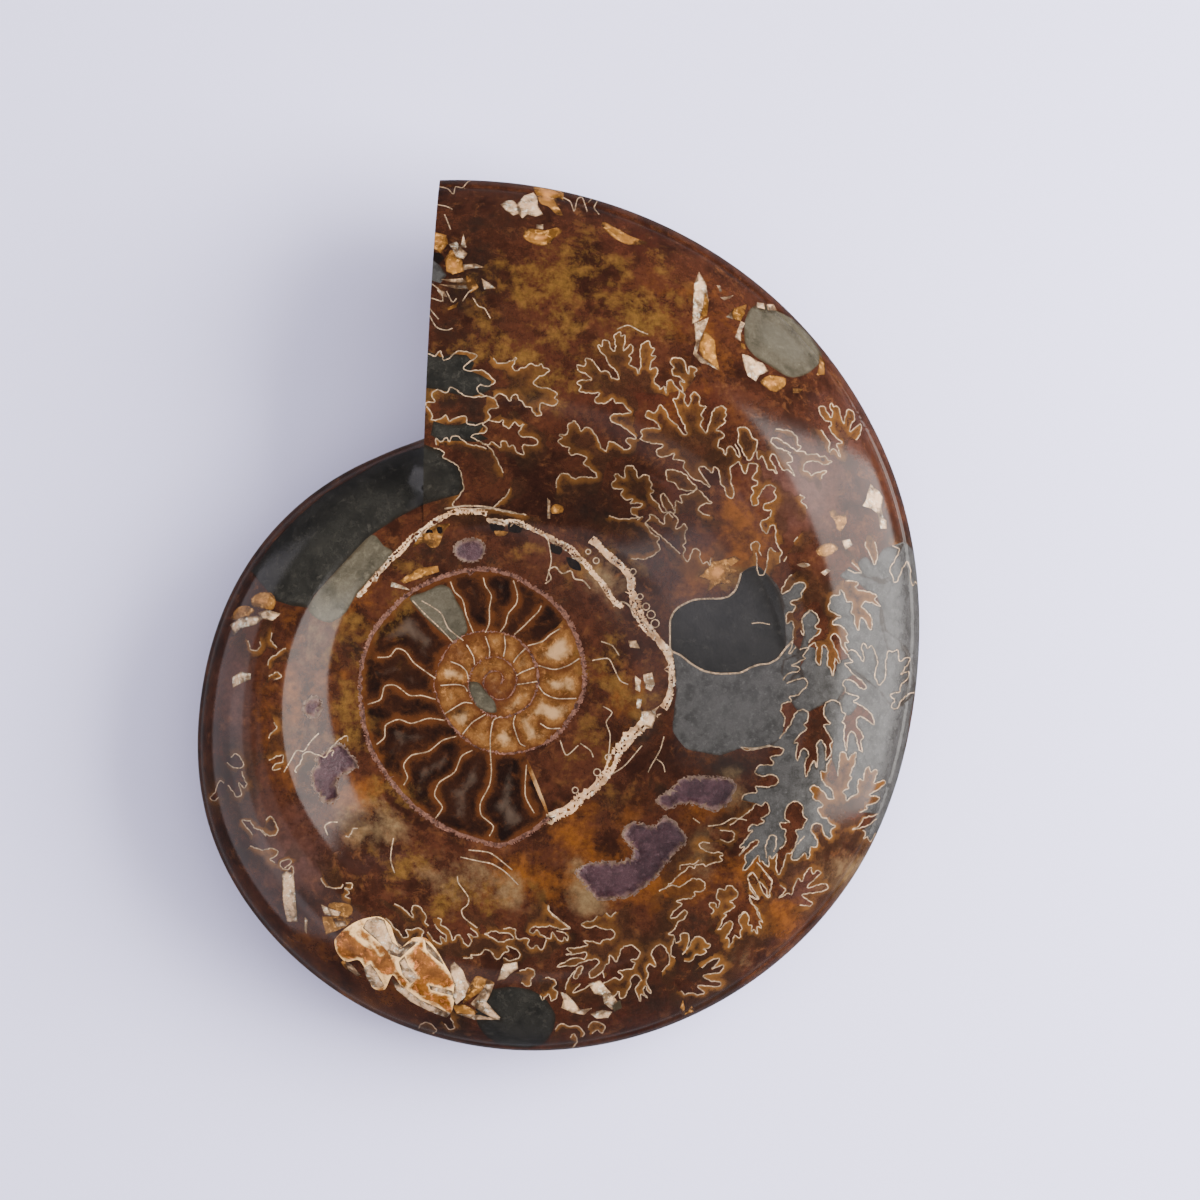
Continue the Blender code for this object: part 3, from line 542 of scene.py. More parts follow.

# Soft spots of colour in the base stone: the tone, the spot's middle and half sizes in steps, and its
# strength. Most mauve spots lie where the flanks catch the light, as painted sheen.
SPOTS = (
    ("gold", 560, 285, 85, 55, 0.6), ("gold", 620, 300, 60, 60, 0.5), ("gold", 480, 345, 45, 30, 0.65),
    ("gold", 540, 345, 45, 25, 0.6), ("gold", 580, 240, 50, 25, 0.3), ("gold", 645, 260, 35, 35, 0.4),
    ("gold", 345, 640, 22, 40, 0.6), ("gold", 350, 720, 20, 50, 0.6), ("gold", 375, 800, 40, 30, 0.55),
    ("gold", 600, 560, 40, 22, 0.55), ("gold", 600, 680, 32, 60, 0.55), ("gold", 420, 565, 30, 14, 0.5),
    ("gold", 600, 765, 40, 30, 0.5), ("gold", 470, 900, 90, 30, 0.45), ("gold", 720, 575, 30, 14, 0.9),
    ("gold", 530, 548, 16, 10, 0.8), ("gold", 400, 870, 50, 25, 0.5), ("dark", 338, 690, 10, 60, 0.5),
    ("dark", 620, 620, 25, 30, 0.5), ("dark", 660, 760, 40, 25, 0.7), ("dark", 610, 800, 30, 25, 0.6),
    ("mauve", 810, 890, 50, 40, 0.5), ("dark", 450, 560, 70, 22, 0.6), ("dark", 640, 725, 30, 45, 0.7),
    ("dark", 560, 600, 40, 25, 0.5), ("dark", 350, 640, 20, 60, 0.4), ("gold", 395, 620, 20, 30, 0.5),
    ("gold", 610, 640, 30, 40, 0.4), ("red", 497, 690, 26, 24, 0.9), ("dark", 462, 712, 11, 9, 0.9),
    ("red", 455, 655, 16, 20, 0.5), ("gold", 560, 380, 40, 30, 0.5), ("gold", 660, 310, 30, 35, 0.6),
    ("gold", 430, 400, 25, 40, 0.45), ("dark", 470, 280, 45, 60, 0.9), ("dark", 450, 340, 30, 45, 0.8),
    ("dark", 495, 215, 40, 35, 0.5), ("dark", 590, 505, 45, 30, 0.8), ("dark", 470, 400, 30, 50, 0.75),
    ("dark", 640, 470, 35, 35, 0.6), ("dark", 730, 765, 45, 18, 0.9), ("dark", 640, 790, 60, 30, 0.5),
    ("dark", 640, 1000, 90, 45, 0.85), ("dark", 690, 960, 60, 45, 0.7), ("dark", 500, 970, 90, 35, 0.5),
    ("dark", 330, 890, 40, 35, 0.5), ("dark", 820, 730, 22, 55, 0.6), ("dark", 660, 700, 30, 50, 0.4),
    ("dark", 400, 935, 35, 25, 0.7), ("dark", 640, 560, 40, 50, 0.55), ("dark", 700, 430, 35, 25, 0.35),
    ("amber", 740, 540, 45, 55, 0.7), ("amber", 700, 385, 40, 40, 0.45), ("amber", 720, 340, 25, 35, 0.6),
    ("amber", 650, 885, 60, 25, 0.85), ("amber", 690, 400, 60, 35, 0.4), ("amber", 780, 915, 28, 30, 0.8),
    ("amber", 705, 575, 30, 30, 0.9), ("amber", 590, 840, 50, 45, 0.7), ("amber", 560, 880, 45, 30, 0.8),
    ("amber", 350, 790, 35, 45, 0.75), ("amber", 290, 690, 14, 90, 0.7), ("amber", 265, 745, 30, 70, 0.4),
    ("amber", 300, 960, 60, 35, 0.4), ("amber", 380, 1000, 70, 25, 0.45), ("amber", 700, 300, 60, 40, 0.4),
    ("amber", 360, 600, 40, 30, 0.5), ("amber", 620, 700, 35, 45, 0.6), ("amber", 520, 880, 40, 30, 0.6),
    ("amber", 430, 205, 14, 50, 0.6), ("amber", 330, 700, 22, 40, 0.6), ("amber", 690, 740, 40, 30, 0.35),
    ("amber", 740, 870, 45, 35, 0.5), ("amber", 700, 810, 35, 15, 0.6), ("gold", 640, 690, 25, 35, 0.5),
    ("pale", 372, 830, 40, 30, 0.8), ("pale", 450, 880, 60, 28, 0.5), ("pale", 505, 882, 22, 25, 0.65),
    ("pale", 585, 890, 28, 28, 0.85), ("pale", 545, 910, 45, 15, 0.3), ("pale", 615, 575, 30, 38, 0.6),
    # The first two pale spots here, on the left wall of the dish, are a painted highlight.
    ("pale", 310, 640, 18, 40, 0.4), ("pale", 305, 720, 20, 60, 0.4), ("pale", 700, 850, 35, 35, 0.35),
    ("pale", 850, 870, 45, 40, 0.6), ("pale", 735, 795, 20, 25, 0.6), ("pale", 760, 960, 40, 30, 0.35),
    # Mauve spots on the flanks: painted sheen over the stone's own pinkish brown.
    ("mauve", 800, 490, 90, 60, 0.75), ("mauve", 850, 430, 50, 60, 0.6), ("mauve", 290, 850, 45, 60, 0.8),
    ("mauve", 235, 700, 22, 70, 0.7), ("mauve", 800, 960, 50, 40, 0.5), ("mauve", 380, 870, 60, 25, 0.35),
    ("mauve", 260, 830, 40, 50, 0.5), ("mauve", 480, 600, 30, 20, 0.2), ("mauve", 760, 280, 50, 25, 0.35),
    ("red", 640, 400, 120, 60, 0.6), ("red", 700, 500, 80, 50, 0.5), ("red", 600, 1000, 120, 40, 0.6),
    ("red", 640, 240, 80, 30, 0.5), ("red", 820, 420, 50, 50, 0.5), ("red", 270, 900, 40, 40, 0.5),
    ("red", 640, 830, 60, 30, 0.5), ("red", 255, 680, 30, 60, 0.6), ("red", 460, 930, 80, 25, 0.4),
)
TONES = ("amber", "gold", "dark", "pale", "mauve", "red")
# Depths held by each corner: inside a suture's leaf, beside any line and beside any area's edge.
DEPTH_NAMES = ("leaf_depth", "line_depth", "edge_depth")


def smooth_between(table, angle):
    """Values read from a table of (angle, value), on a smooth curve through its points."""
    xs, ys = np.array(table).T
    last = len(xs) - 1
    k = np.clip(np.searchsorted(xs, angle, side="right") - 1, 0, last - 1)
    before, after = np.maximum(k - 1, 0), np.minimum(k + 2, last)
    span = xs[k + 1] - xs[k]
    share = (angle - xs[k]) / span
    slope_here = (ys[k + 1] - ys[before]) / (xs[k + 1] - xs[before]) * span
    slope_there = (ys[after] - ys[k]) / (xs[after] - xs[k]) * span
    cube, square = share**3, share**2
    return (
        ys[k] * (2 * cube - 3 * square + 1)
        + ys[k + 1] * (3 * square - 2 * cube)
        + slope_here * (cube - 2 * square + share)
        + slope_there * (cube - square)
    )


def soft_min(a, b, rounding):
    least = np.minimum(a, b)
    return least - rounding * np.log(np.exp((least - a) / rounding) + np.exp((least - b) / rounding))


def soft_max(a, b, rounding):
    return -soft_min(-a, -b, rounding)


def soft_step(value):
    value = np.clip(value, 0.0, 1.0)
    return value * value * (3 - 2 * value)


def cut_angle(radius):
    """The angle at which the saw cut crosses a circle about the coil's centre."""
    radius = np.maximum(radius, DISH_RADIUS)
    ahead = CUT_INNER @ CUT_ALONG
    reach = -ahead + np.sqrt(ahead**2 + radius**2 - CUT_INNER @ CUT_INNER)
    return np.degrees(np.arctan2(CUT_INNER[0] + CUT_ALONG[0] * reach, CUT_INNER[1] + CUT_ALONG[1] * reach))


def bend_at(turn):
    """How far a section bends to lie along the saw cut, from 0 to 1."""
    return soft_step(1.0 - np.minimum(turn, 1.0 - turn) / CUT_REACH)


def angle_at(turn, radius):
    return FULL_TURN * turn + CUT_DEG + (cut_angle(radius) - CUT_DEG) * bend_at(turn)


def turn_at(points, side):
    """How far round the coil each point lies, from 0 at the newest section to 1 at the oldest."""
    x, y = points.T
    cut = cut_angle(np.hypot(x, y))
    lead = (np.degrees(np.arctan2(x, y)) - cut) % FULL_TURN
    lead = np.where((side == NEWEST) & (lead > 300), lead - FULL_TURN, lead)
    lead = np.where((side == OLDEST) & (lead < 60), lead + FULL_TURN, lead)
    turn = lead / FULL_TURN
    for _ in range(12):
        turn = (lead - (cut - CUT_DEG) * (bend_at(turn) - 1)) / FULL_TURN
    return turn


def section_at(turn):
    end_radius = np.where(turn < 0.5, KEEL_RADII[0][1], KEEL_RADII[-1][1])
    angle = FULL_TURN * turn + CUT_DEG
    keel = smooth_between(KEEL_RADII, angle_at(turn, end_radius))
    ridge = smooth_between(RIDGE_RADII, angle)
    swell = smooth_between(FLANK_SWELL, angle)
    ridge_height = RIDGE_HEIGHT_SHARE * keel - SWELL_BELOW_RIDGE * swell
    wall_slope = (ridge_height - DISH_RIM_HEIGHT) / (ridge - DISH_RADIUS)
    return keel, ridge, ridge_height, wall_slope, swell


def skin_height(section, radius):
    """How high the skin stands above the middle plane."""
    keel, ridge, ridge_height, wall_slope, swell = section
    floor = DISH_CENTRE_HEIGHT + (DISH_RIM_HEIGHT - DISH_CENTRE_HEIGHT) * (radius / DISH_RADIUS) ** 2
    wall = DISH_RIM_HEIGHT + wall_slope * (radius - DISH_RADIUS)
    out = np.clip((radius - ridge) / (keel - ridge), 0.0, 1.0)
    flank = ridge_height * (1.0 - out**FLANK_FULLNESS) ** FLANK_EDGE
    flank += swell * SWELL_GAIN * out * (1.0 - out) ** 1.5
    height = soft_min(soft_max(floor, wall, FOOT_ROUNDING), flank, RIDGE_ROUNDING)
    return np.where(out >= 1.0, 0.0, height)


# How near the keel a point counts as lying on it.
KEEL_TOUCH = 0.001


def flank_height(points, side):
    """The skin's height, with the fillet left where the cut stands on the older part of the coil."""
    radius = np.hypot(*points.T)
    turn = turn_at(points, side)
    section = section_at(turn)
    height = skin_height(section, radius)
    gap = (1.0 - turn) * 2 * math.pi * radius
    step = np.maximum(0.0, skin_height(section_at(np.zeros_like(turn)), radius) - height)
    fillet = step * CUT_FILLET_SHARE * (1.0 - gap / CUT_FILLET_REACH) ** 2
    filled = (gap < CUT_FILLET_REACH) & (radius > DISH_RADIUS) & (section[0] - radius > KEEL_TOUCH)
    return np.where(filled, height + fillet, height)


def inset_at(points, side):
    """How far inside the outline each point lies, along its radius."""
    return section_at(turn_at(points, side))[0] - np.hypot(*points.T)


def groove_depth(points, side, depth):
    turn = turn_at(points, side)
    inset = section_at(turn)[0] - np.hypot(*points.T)
    middle = smooth_between(GROOVE_INSETS, FULL_TURN * turn + CUT_DEG)
    return depth * np.exp(-(((inset - middle) / GROOVE_HALF_WIDTH) ** 2))


def on_coil(steps):
    """Steps of the camera's grid as places on the coil's plane, allowing for the skin's height there."""
    flat = (steps - COIL_STEP) * (STEP, -STEP)
    aim = (MIDDLE_STEP - COIL_STEP) * (STEP, -STEP)
    places = flat
    for _ in range(VIEW_ROUNDS):
        height = flank_height(places, EITHER)[:, None]
        places = aim + (flat - aim) * (1 - height / CAMERA_DISTANCE)
    return places


def marks(text):
    """The points of each mark in a text, as places on the coil's plane."""
    for part in text.split("/"):
        yield on_coil(np.array([[float(number) for number in pair.split(",")] for pair in part.split()]))


TENSION = 0.36
CURVE_STEPS = 12


def rounded(points, spacing, closed=False):
    """A smooth line through the points, with even spacing."""
    if closed:
        ring = np.vstack((points[-1:], points, points[:2]))
    else:
        ring = np.vstack((points[:1], points, points[-1:]))
    pieces = []
    for before, here, there, after in zip(ring, ring[1:], ring[2:], ring[3:]):
        share = np.linspace(0, 1, CURVE_STEPS, endpoint=False)[:, None]
        start, end = TENSION * (there - before), TENSION * (after - here)
        step = there - here
        square = (3 * step - 2 * start - end) * share**2
        cube = (start + end - 2 * step) * share**3
        pieces.append(here + start * share + square + cube)
    line = np.vstack(pieces + [ring[-2:-1]])
    return even(line, spacing)


def distances(line):
    """How far along a line each of its points lies."""
    return np.concatenate(((0,), np.cumsum(np.linalg.norm(np.diff(line, axis=0), axis=1))))


def even(line, spacing):
    lengths = distances(line)
    count = max(2, int(round(lengths[-1] / spacing)) + 1)
    stops = np.linspace(0, lengths[-1], count)
    return np.column_stack([np.interp(stops, lengths, line[:, axis]) for axis in range(2)])


def sideways(line):
    """Unit vectors pointing to the right of a line, seen from above."""
    along = np.gradient(line, axis=0)
    along /= np.maximum(np.linalg.norm(along, axis=1), 1e-9)[:, None]
    return np.column_stack((along[:, 1], -along[:, 0]))


# Suture lines are frilled with small scallops of these lengths and heights.
SCALLOP_LENGTHS = (0.9, 2.2)
SCALLOP_HEIGHTS = (0.08, 0.36)
SCALLOP_SETBACK = 0.7
FRILL_SPACING = 0.3


def frilled(line, leaf_side, rng):
    """Adds scallops to a suture line. They bulge away from its leaf and meet in small cusps."""
    gone = distances(line)
    ends = np.cumsum(rng.uniform(*SCALLOP_LENGTHS, int(gone[-1] / SCALLOP_LENGTHS[0]) + 2))
    index = np.searchsorted(ends, gone)
    starts = np.concatenate(((0,), ends))[index]
    share = (gone - starts) / (ends[index] - starts)
    height = rng.uniform(*SCALLOP_HEIGHTS, len(ends) + 1)[index] * np.clip((gone[-1] - gone) * gone, 0, 1)
    shift = height * (2 * np.sqrt(np.clip(share * (1 - share), 0, 1)) - SCALLOP_SETBACK)
    return even(line - sideways(line) * leaf_side * shift[:, None], FRILL_SPACING)


def inside(points, outline):
    x, y = points.T
    low, high = outline.min(axis=0), outline.max(axis=0)
    near = np.flatnonzero((x >= low[0]) & (x <= high[0]) & (y >= low[1]) & (y <= high[1]))
    x, y = x[near], y[near]
    odd = np.zeros(len(near), bool)
    for (ax, ay), (bx, by) in zip(outline, np.roll(outline, -1, axis=0)):
        if ay != by:
            odd ^= ((ay > y) != (by > y)) & (x < ax + (y - ay) / (by - ay) * (bx - ax))
    result = np.zeros(len(points), bool)
    result[near] = odd
    return result


def search_tree(points):
    tree = kdtree.KDTree(len(points))
    for index, point in enumerate(points):
        tree.insert((point[0], point[1], 0.0), index)
    tree.balance()
    return tree


def nearest(tree, points):
    """The index and distance of the nearest point of a tree to each point."""
    found = [tree.find((x, y, 0.0))[1:] for x, y in points]
    return np.array([index for index, _ in found]), np.array([distance for _, distance in found])


# Loose rows of points beside a line, and the spacing at which a line is stored.
LOOSE_GAPS = (0.45, 1.1)
LINE_SPACING = 0.1

# A ragged band is made of grains this far apart, in rows that reach a little past its edges.
GRAIN = 0.35
GRAIN_ROWS = (-1.4, 1.5)
GRAIN_STRAY = 0.12
BAND_ROUGHNESS = 0.35

# A stranded band: its strands' places across it, the waves they wander on, and their widths.
STRAND_PLACES = (-0.75, 0.0, 0.75)
STRAND_WAVES = (1.0, 2.3, 5.1)
STRAND_WAVE_POINTS = 9
STRAND_WANDER = 0.45
STRAND_WIDTHS = (0.26, 0.42)
STRAND_ROUGHNESS = 0.5
LOOP_CORNERS = 14


class Drawing:
    """Marks on one flat patch of skin: its borders, its lines with their half widths, and its areas."""

    def __init__(self):
        self.points = []
        self.edges = []
        self.loose = []
        self.lines = []
        self.areas = []

    def border(self, points, closed=False):
        start = len(self.points)
        last = start + len(points) - 1
        self.points.extend(map(tuple, points))
        self.edges.extend((index, index + 1) for index in range(start, last))
        if closed:
            self.edges.append((last, start))

    def ribbon(self, kind, centre, half_width, leaf_side=0):
        """A line of one width. Its borders are cut into the skin, with loose rows of points beside them."""
        across = sideways(centre)
        right, left = centre + across * half_width, centre - across * half_width
        self.border(np.vstack((right, left[::-1])), closed=True)
        for gap in LOOSE_GAPS:
            self.loose.append(centre + across * (half_width + gap))
            self.loose.append(centre - across * (half_width + gap))
        self.lines.append((kind, even(centre, LINE_SPACING), half_width, leaf_side, 0.0))

    def ragged(self, kind, centre, half_width, rng, roughness=BAND_ROUGHNESS):
        """A band of grains: close-set loose points, so that its edges run from grain to grain."""
        across = sideways(centre)
        for share in np.arange(*GRAIN_ROWS, GRAIN / max(half_width, GRAIN)):
            shift = share * half_width + rng.uniform(-GRAIN_STRAY, GRAIN_STRAY, (len(centre), 1))
            self.loose.append(centre + across * shift)
        self.lines.append((kind, even(centre, LINE_SPACING), half_width, 0, roughness))

    def strands(self, kind, centre, reach, rng):
        """A band of thin layers that wander beside one another."""
        across = sideways(centre)
        gone = np.arange(len(centre))[:, None] / STRAND_WAVE_POINTS
        for share in STRAND_PLACES:
            phase = rng.uniform(0, math.tau, len(STRAND_WAVES))
            waves = [np.sin(gone * rate + turn) for rate, turn in zip(STRAND_WAVES, phase)]
            line = centre + across * reach * (share + STRAND_WANDER * (sum(waves) / len(STRAND_WAVES)))
            half_width = reach * rng.uniform(*STRAND_WIDTHS)
            self.ragged(kind, even(line, GRAIN_SPACING), half_width, rng, STRAND_ROUGHNESS)

    def loop(self, kind, middle, radius, half_width):
        turn = np.linspace(0, math.tau, LOOP_CORNERS + 1)[:-1]
        ring = middle + radius * np.column_stack((np.cos(turn), np.sin(turn)))
        self.ribbon(kind, rounded(ring, GRAIN_SPACING, closed=True), half_width)

    def area(self, kind, outline):
        self.border(outline, closed=True)
        self.areas.append((kind, outline))


def triangulate(drawing, filler):
    """Cuts a patch into triangles along its borders. Returns the corners and the triangles."""
    corners = [Vector(point) for point in drawing.points]
    corners += [Vector(point) for point in filler]
    verts, _, faces, *_ = geometry.delaunay_2d_cdt(corners, drawing.edges, [], 0, 1e-5, False)
    return np.array([tuple(vert) for vert in verts]), np.array([face[:] for face in faces])


UNEVENNESS = 0.12


def hex_grid(low, high, spacing, seed):
    """Evenly spread points with a slight unevenness."""
    rows = np.arange(low[1], high[1], spacing * math.sqrt(0.75))
    columns = np.arange(low[0], high[0], spacing)
    x, y = np.meshgrid(columns, rows)
    x = x + (np.arange(len(rows)) % 2)[:, None] * spacing / 2
    points = np.column_stack((x.ravel(), y.ravel()))
    return points + np.random.default_rng(seed).uniform(-UNEVENNESS, UNEVENNESS, points.shape) * spacing


def thinned(points, spacing):
    """Keeps one point to each cell of a square grid."""
    cells = np.round(points / spacing).astype(int)
    _, first = np.unique(cells, axis=0, return_index=True)
    return points[np.sort(first)]


def around(angle, radius):
    """Places at a radius from the coil's centre, at an angle in radians."""
    return np.column_stack((radius * np.sin(angle), radius * np.cos(angle)))


# How many points the keel and the ridge have, and how the saw cut's points are spaced.
KEEL_POINTS = 481
RIDGE_POINTS = 361
CUT_SPACING = 0.9
CUT_TIP_CLEAR = 0.5
CUT_CLOSEST = 0.02
CUT_DECIMALS = 6


def outline_parts():
    """The keel's line, and the points of the saw cut from the slit's inner end to the tip."""
    turns = np.linspace(0, 1, KEEL_POINTS)
    keels = section_at(turns)[0]
    rows = []
    for row in KEEL_ROWS:
        radius = keels - row
        rows.append(around(np.radians(angle_at(turns, radius)), radius))
    radii = [np.hypot(*row[0]) for row in rows] + [np.hypot(*row[-1]) for row in rows]
    newest, oldest = np.hypot(*rows[0][0]), np.hypot(*rows[0][-1])
    radii += list(np.arange(SLIT_START, newest - CUT_TIP_CLEAR, CUT_SPACING))
    radii = sorted(set(round(float(radius), CUT_DECIMALS) for radius in radii))
    kept = [SLIT_START]
    newest, oldest = round(float(newest), CUT_DECIMALS), round(float(oldest), CUT_DECIMALS)
    for radius in radii:
        if radius in (newest, oldest) or radius - kept[-1] > CUT_CLOSEST:
            kept.append(radius)
    cut = around(np.radians(cut_angle(np.array(kept))), np.array(kept))
    cut[kept.index(newest)] = rows[0][0]
    cut[kept.index(oldest)] = rows[0][-1]
    return rows, cut


def cut_distance(points):
    """How far each point lies to the left of the saw cut's line, and how far along it."""
    away = points - CUT_INNER
    return CUT_ALONG[0] * away[:, 1] - CUT_ALONG[1] * away[:, 0], away @ CUT_ALONG


def draw_top(sizes):
    """Every mark of the upper flank."""
    drawing = Drawing()
    rng = np.random.default_rng(4)
    half = sizes.suture_width / MM / 2
    for side, text in SUTURES:
        leaf_side = 1 if side == "right" else -1
        for line in marks(text):
            drawing.ribbon("suture", frilled(rounded(line, SUTURE_SPACING), leaf_side, rng), half,
                           leaf_side)
    for line in marks(CHAMBER_WALLS):
        drawing.ribbon("suture", rounded(line, WALL_SPACING), half)
    for width, text in SHELL_BANDS:
        for line in marks(text):
            centre = rounded(line, SHELL_SPACING)
            if width > STRANDED_WIDTH:
                drawing.strands("shell", centre, width * STEP, rng)
            else:
                drawing.ribbon("suture", centre, width * STEP)
    for x, y, radius in SHELL_LOOPS:
        drawing.loop("suture", on_coil(np.array(((x, y),), float)), radius * STEP, half)
    for width, text in GRANULAR_BANDS:
        for line in marks(text):
            drawing.ragged("granular", rounded(line, GRAIN_SPACING), width * STEP, rng)
    for kind, edge, text in AREAS:
        for outline in marks(text):
            if edge == "rounded":
                outline = rounded(outline, AREA_SPACING, closed=True)[:-1]
            drawing.area(kind, outline)
    for outline in hollow_outlines():
        drawing.area("druse", outline)
        drawing.ragged("rim", np.vstack((outline, outline[:1])), HOLLOW_RIM, rng, RIM_ROUGHNESS)
    return drawing


def hollow_outlines():
    """The hollows' uneven edges."""
    rng = np.random.default_rng(8)
    outlines = []
    for _, text in HOLLOWS:
        for line in marks(text):
            ring = rounded(line, WALL_SPACING, closed=True)[:-1]
            stray = rng.uniform(-HOLLOW_RAGGEDNESS, HOLLOW_RAGGEDNESS, (len(ring), 1))
            outlines.append(ring + sideways(ring) * stray)
    return outlines


def leafy_line(turn, rng):
    """A frilled suture from the ridge to the keel, for the flank that isn't seen."""
    reach = np.linspace(0, 1, 420)
    lobes = 3 + 2 * reach
    phase = rng.uniform(0, math.tau)
    swing = 2.6 * np.sin(math.tau * lobes * reach / 2 + phase)
    swing += 1.1 * np.sin(math.tau * 9 * reach + 2 * phase)
    swing += 0.7 * np.sin(math.tau * 23 * reach + 3 * phase)
    creep = 0.02 * np.sin(math.tau * 18 * reach + phase) + 0.012 * np.sin(math.tau * 46 * reach)
    along = np.clip(reach + creep, 0, 1)
    keel, ridge, *_ = section_at(np.full_like(reach, turn))
    radius = ridge + 0.8 + (keel - ridge - 4.0) * along
    return around(np.radians(angle_at(np.full_like(reach, turn), radius)) + swing / radius, radius)


def draw_under(sizes):
    """Plainer marks of the same kind for the under flank."""
    drawing = Drawing()
    rng = np.random.default_rng(7)
    half = sizes.suture_width / MM / 2
    for turn in UNDER_TURNS:
        line = even(leafy_line(turn, rng), UNDER_SUTURE_SPACING)
        drawing.ribbon("suture", line, half * UNDER_WIDENING, 1)
    for width, text in GRANULAR_BANDS:
        for line in marks(text):
            drawing.ragged("granular", rounded(line, UNDER_LINE_SPACING), width * STEP, rng)
    for line in list(marks(CHAMBER_WALLS))[:UNDER_WALLS]:
        drawing.ribbon("suture", rounded(line, UNDER_LINE_SPACING), half)
    return drawing


# How far loose points keep from a mark, from the keel's rows, from one another and from the saw cut.
MARK_CLEAR = 0.2
ROW_MARK_CLEAR = 0.12
ROW_CLEAR = 0.4
KEEL_CLEAR = 0.5
LOOSE_SPACING = 0.44
LOOSE_CLEAR_SHARE = 0.6
CUT_CLEAR = 0.3


def patch_filler(drawing, rows, spacing, seed):
    """Loose points that fill a flank between its marks."""
    firm = [(line, half) for _, line, half, _, roughness in drawing.lines if not roughness]
    firm += [(even(outline, FRILL_SPACING), 0.0) for _, outline in drawing.areas]
    dense = np.vstack([line for line, _ in firm])
    widths = np.concatenate([np.full(len(line), half) for line, half in firm])
    tree = search_tree(dense)
    turns = np.linspace(0, 1, RIDGE_POINTS)
    ridge = section_at(turns)[1]
    ridges = [around(np.radians(angle_at(turns, ridge + row)), ridge + row) for row in RIDGE_ROWS]
    beside = thinned(np.vstack(drawing.loose), LOOSE_SPACING)
    low, high = rows[0].min(axis=0), rows[0].max(axis=0)
    filler = hex_grid(low, high, spacing, seed)
    filler = filler[inset_at(filler, EITHER) > KEEL_ROWS[-1] + ROW_CLEAR]
    _, gap = nearest(search_tree(beside), filler)
    filler = filler[gap > LOOSE_CLEAR_SHARE * spacing]
    filler = np.vstack([beside, filler] + ridges)
    near, gap = nearest(tree, filler)
    filler = filler[gap > widths[near] + MARK_CLEAR]
    inner_rows = np.vstack(rows[ROWS_WITH_EDGES:])
    near, gap = nearest(tree, inner_rows)
    inner_rows = inner_rows[gap > widths[near] + ROW_MARK_CLEAR]
    filler = filler[inset_at(filler, EITHER) > KEEL_CLEAR]
    filler = np.vstack((filler, inner_rows))
    left, along = cut_distance(filler)
    close = (np.abs(left) < CUT_CLEAR) & (along > 0)
    return filler[~close]


def classify(drawing, kinds, middles, corners, seed):
    """Gives the triangles on a line its kind, and tells how far each corner lies from the nearest line."""
    dense = np.vstack([line for _, line, *_ in drawing.lines])
    owner = np.concatenate([np.full(len(line), index) for index, (_, line, *_) in enumerate(drawing.lines)])
    names = np.array([kind for kind, *_ in drawing.lines])
    halves = np.array([half for _, _, half, _, _ in drawing.lines])
    roughness = np.array([roughness for *_, roughness in drawing.lines])
    tree = search_tree(dense)
    near, gap = nearest(tree, middles)
    owners = owner[near]
    unevenness = np.random.default_rng(seed).uniform(-1, 1, len(middles)) * roughness[owners]
    on_line = gap < halves[owners] * (1.02 + unevenness)
    kinds[on_line] = names[owners[on_line]]
    near, gap = nearest(tree, corners)
    return kinds, gap - halves[owner[near]]


def leaf_depth(drawing, corners):
    """How far each corner lies inside a suture leaf, and a large depth where it isn't in one."""
    leaves = [(line, half, side) for _, line, half, side, _ in drawing.lines if side]
    dense = np.vstack([line for line, _, _ in leaves])
    across = np.vstack([sideways(line) * side for line, _, side in leaves])
    near, gap = nearest(search_tree(dense), corners)
    in_leaf = np.einsum("ij,ij->i", corners - dense[near], across[near]) > 0
    return np.where(in_leaf, gap - leaves[0][1], NO_LEAF)


def edge_depth(drawing, corners):
    """How far each corner lies from the nearest area's edge."""
    if not drawing.areas:
        return np.full(len(corners), NO_LEAF)
    outlines = [even(np.vstack((outline, outline[:1])), 0.2) for _, outline in drawing.areas]
    return nearest(search_tree(np.vstack(outlines)), corners)[1]


def build_flank(drawing, spacing, seed):
    """The flat layout of one flank: corners, triangles, their kinds and each corner's side of the cut."""
    rows, cut = outline_parts()
    bare = np.array([np.hypot(*point) > np.hypot(*rows[0][-1]) + 1e-6 for point in cut])
    outline = np.vstack((rows[0], cut[bare][:-1]))
    drawing.border(outline, closed=True)
    for row in rows[1:ROWS_WITH_EDGES]:
        drawing.border(row)
    drawing.border(cut)
    corners, faces = triangulate(drawing, patch_filler(drawing, rows, spacing, seed))
    middles = corners[faces].mean(axis=1)
    kept = inside(middles, outline)
    faces, middles = faces[kept], middles[kept]
    kinds = np.full(len(faces), "stone", dtype="U16")
    for kind, shape in drawing.areas:
        kinds[inside(middles, shape)] = kind
    kinds, depth = classify(drawing, kinds, middles, corners, seed)
    depths = np.column_stack((leaf_depth(drawing, corners), depth, edge_depth(drawing, corners)))

    left, along = cut_distance(corners)
    radius = np.hypot(*corners.T)
    on_cut = (np.abs(left) < 1e-3) & (along > 0) & (radius > SLIT_START - 1e-6)
    side = np.where(on_cut, NEWEST, EITHER)
    slit = on_cut & (radius > SLIT_START + 1e-4) & (radius < np.hypot(*rows[0][-1]) + 1e-4)
    double = np.flatnonzero(slit)
    renumber = np.arange(len(corners))
    renumber[double] = len(corners) + np.arange(len(double))
    older = (cut_distance(middles)[0] > 0) & (middles @ CUT_ALONG > 0)
    faces[older] = renumber[faces[older]]
    corners = np.vstack((corners, corners[double]))
    side = np.concatenate((side, np.full(len(double), OLDEST)))
    return corners, faces, kinds, side, np.vstack((depths, depths[double])), cut


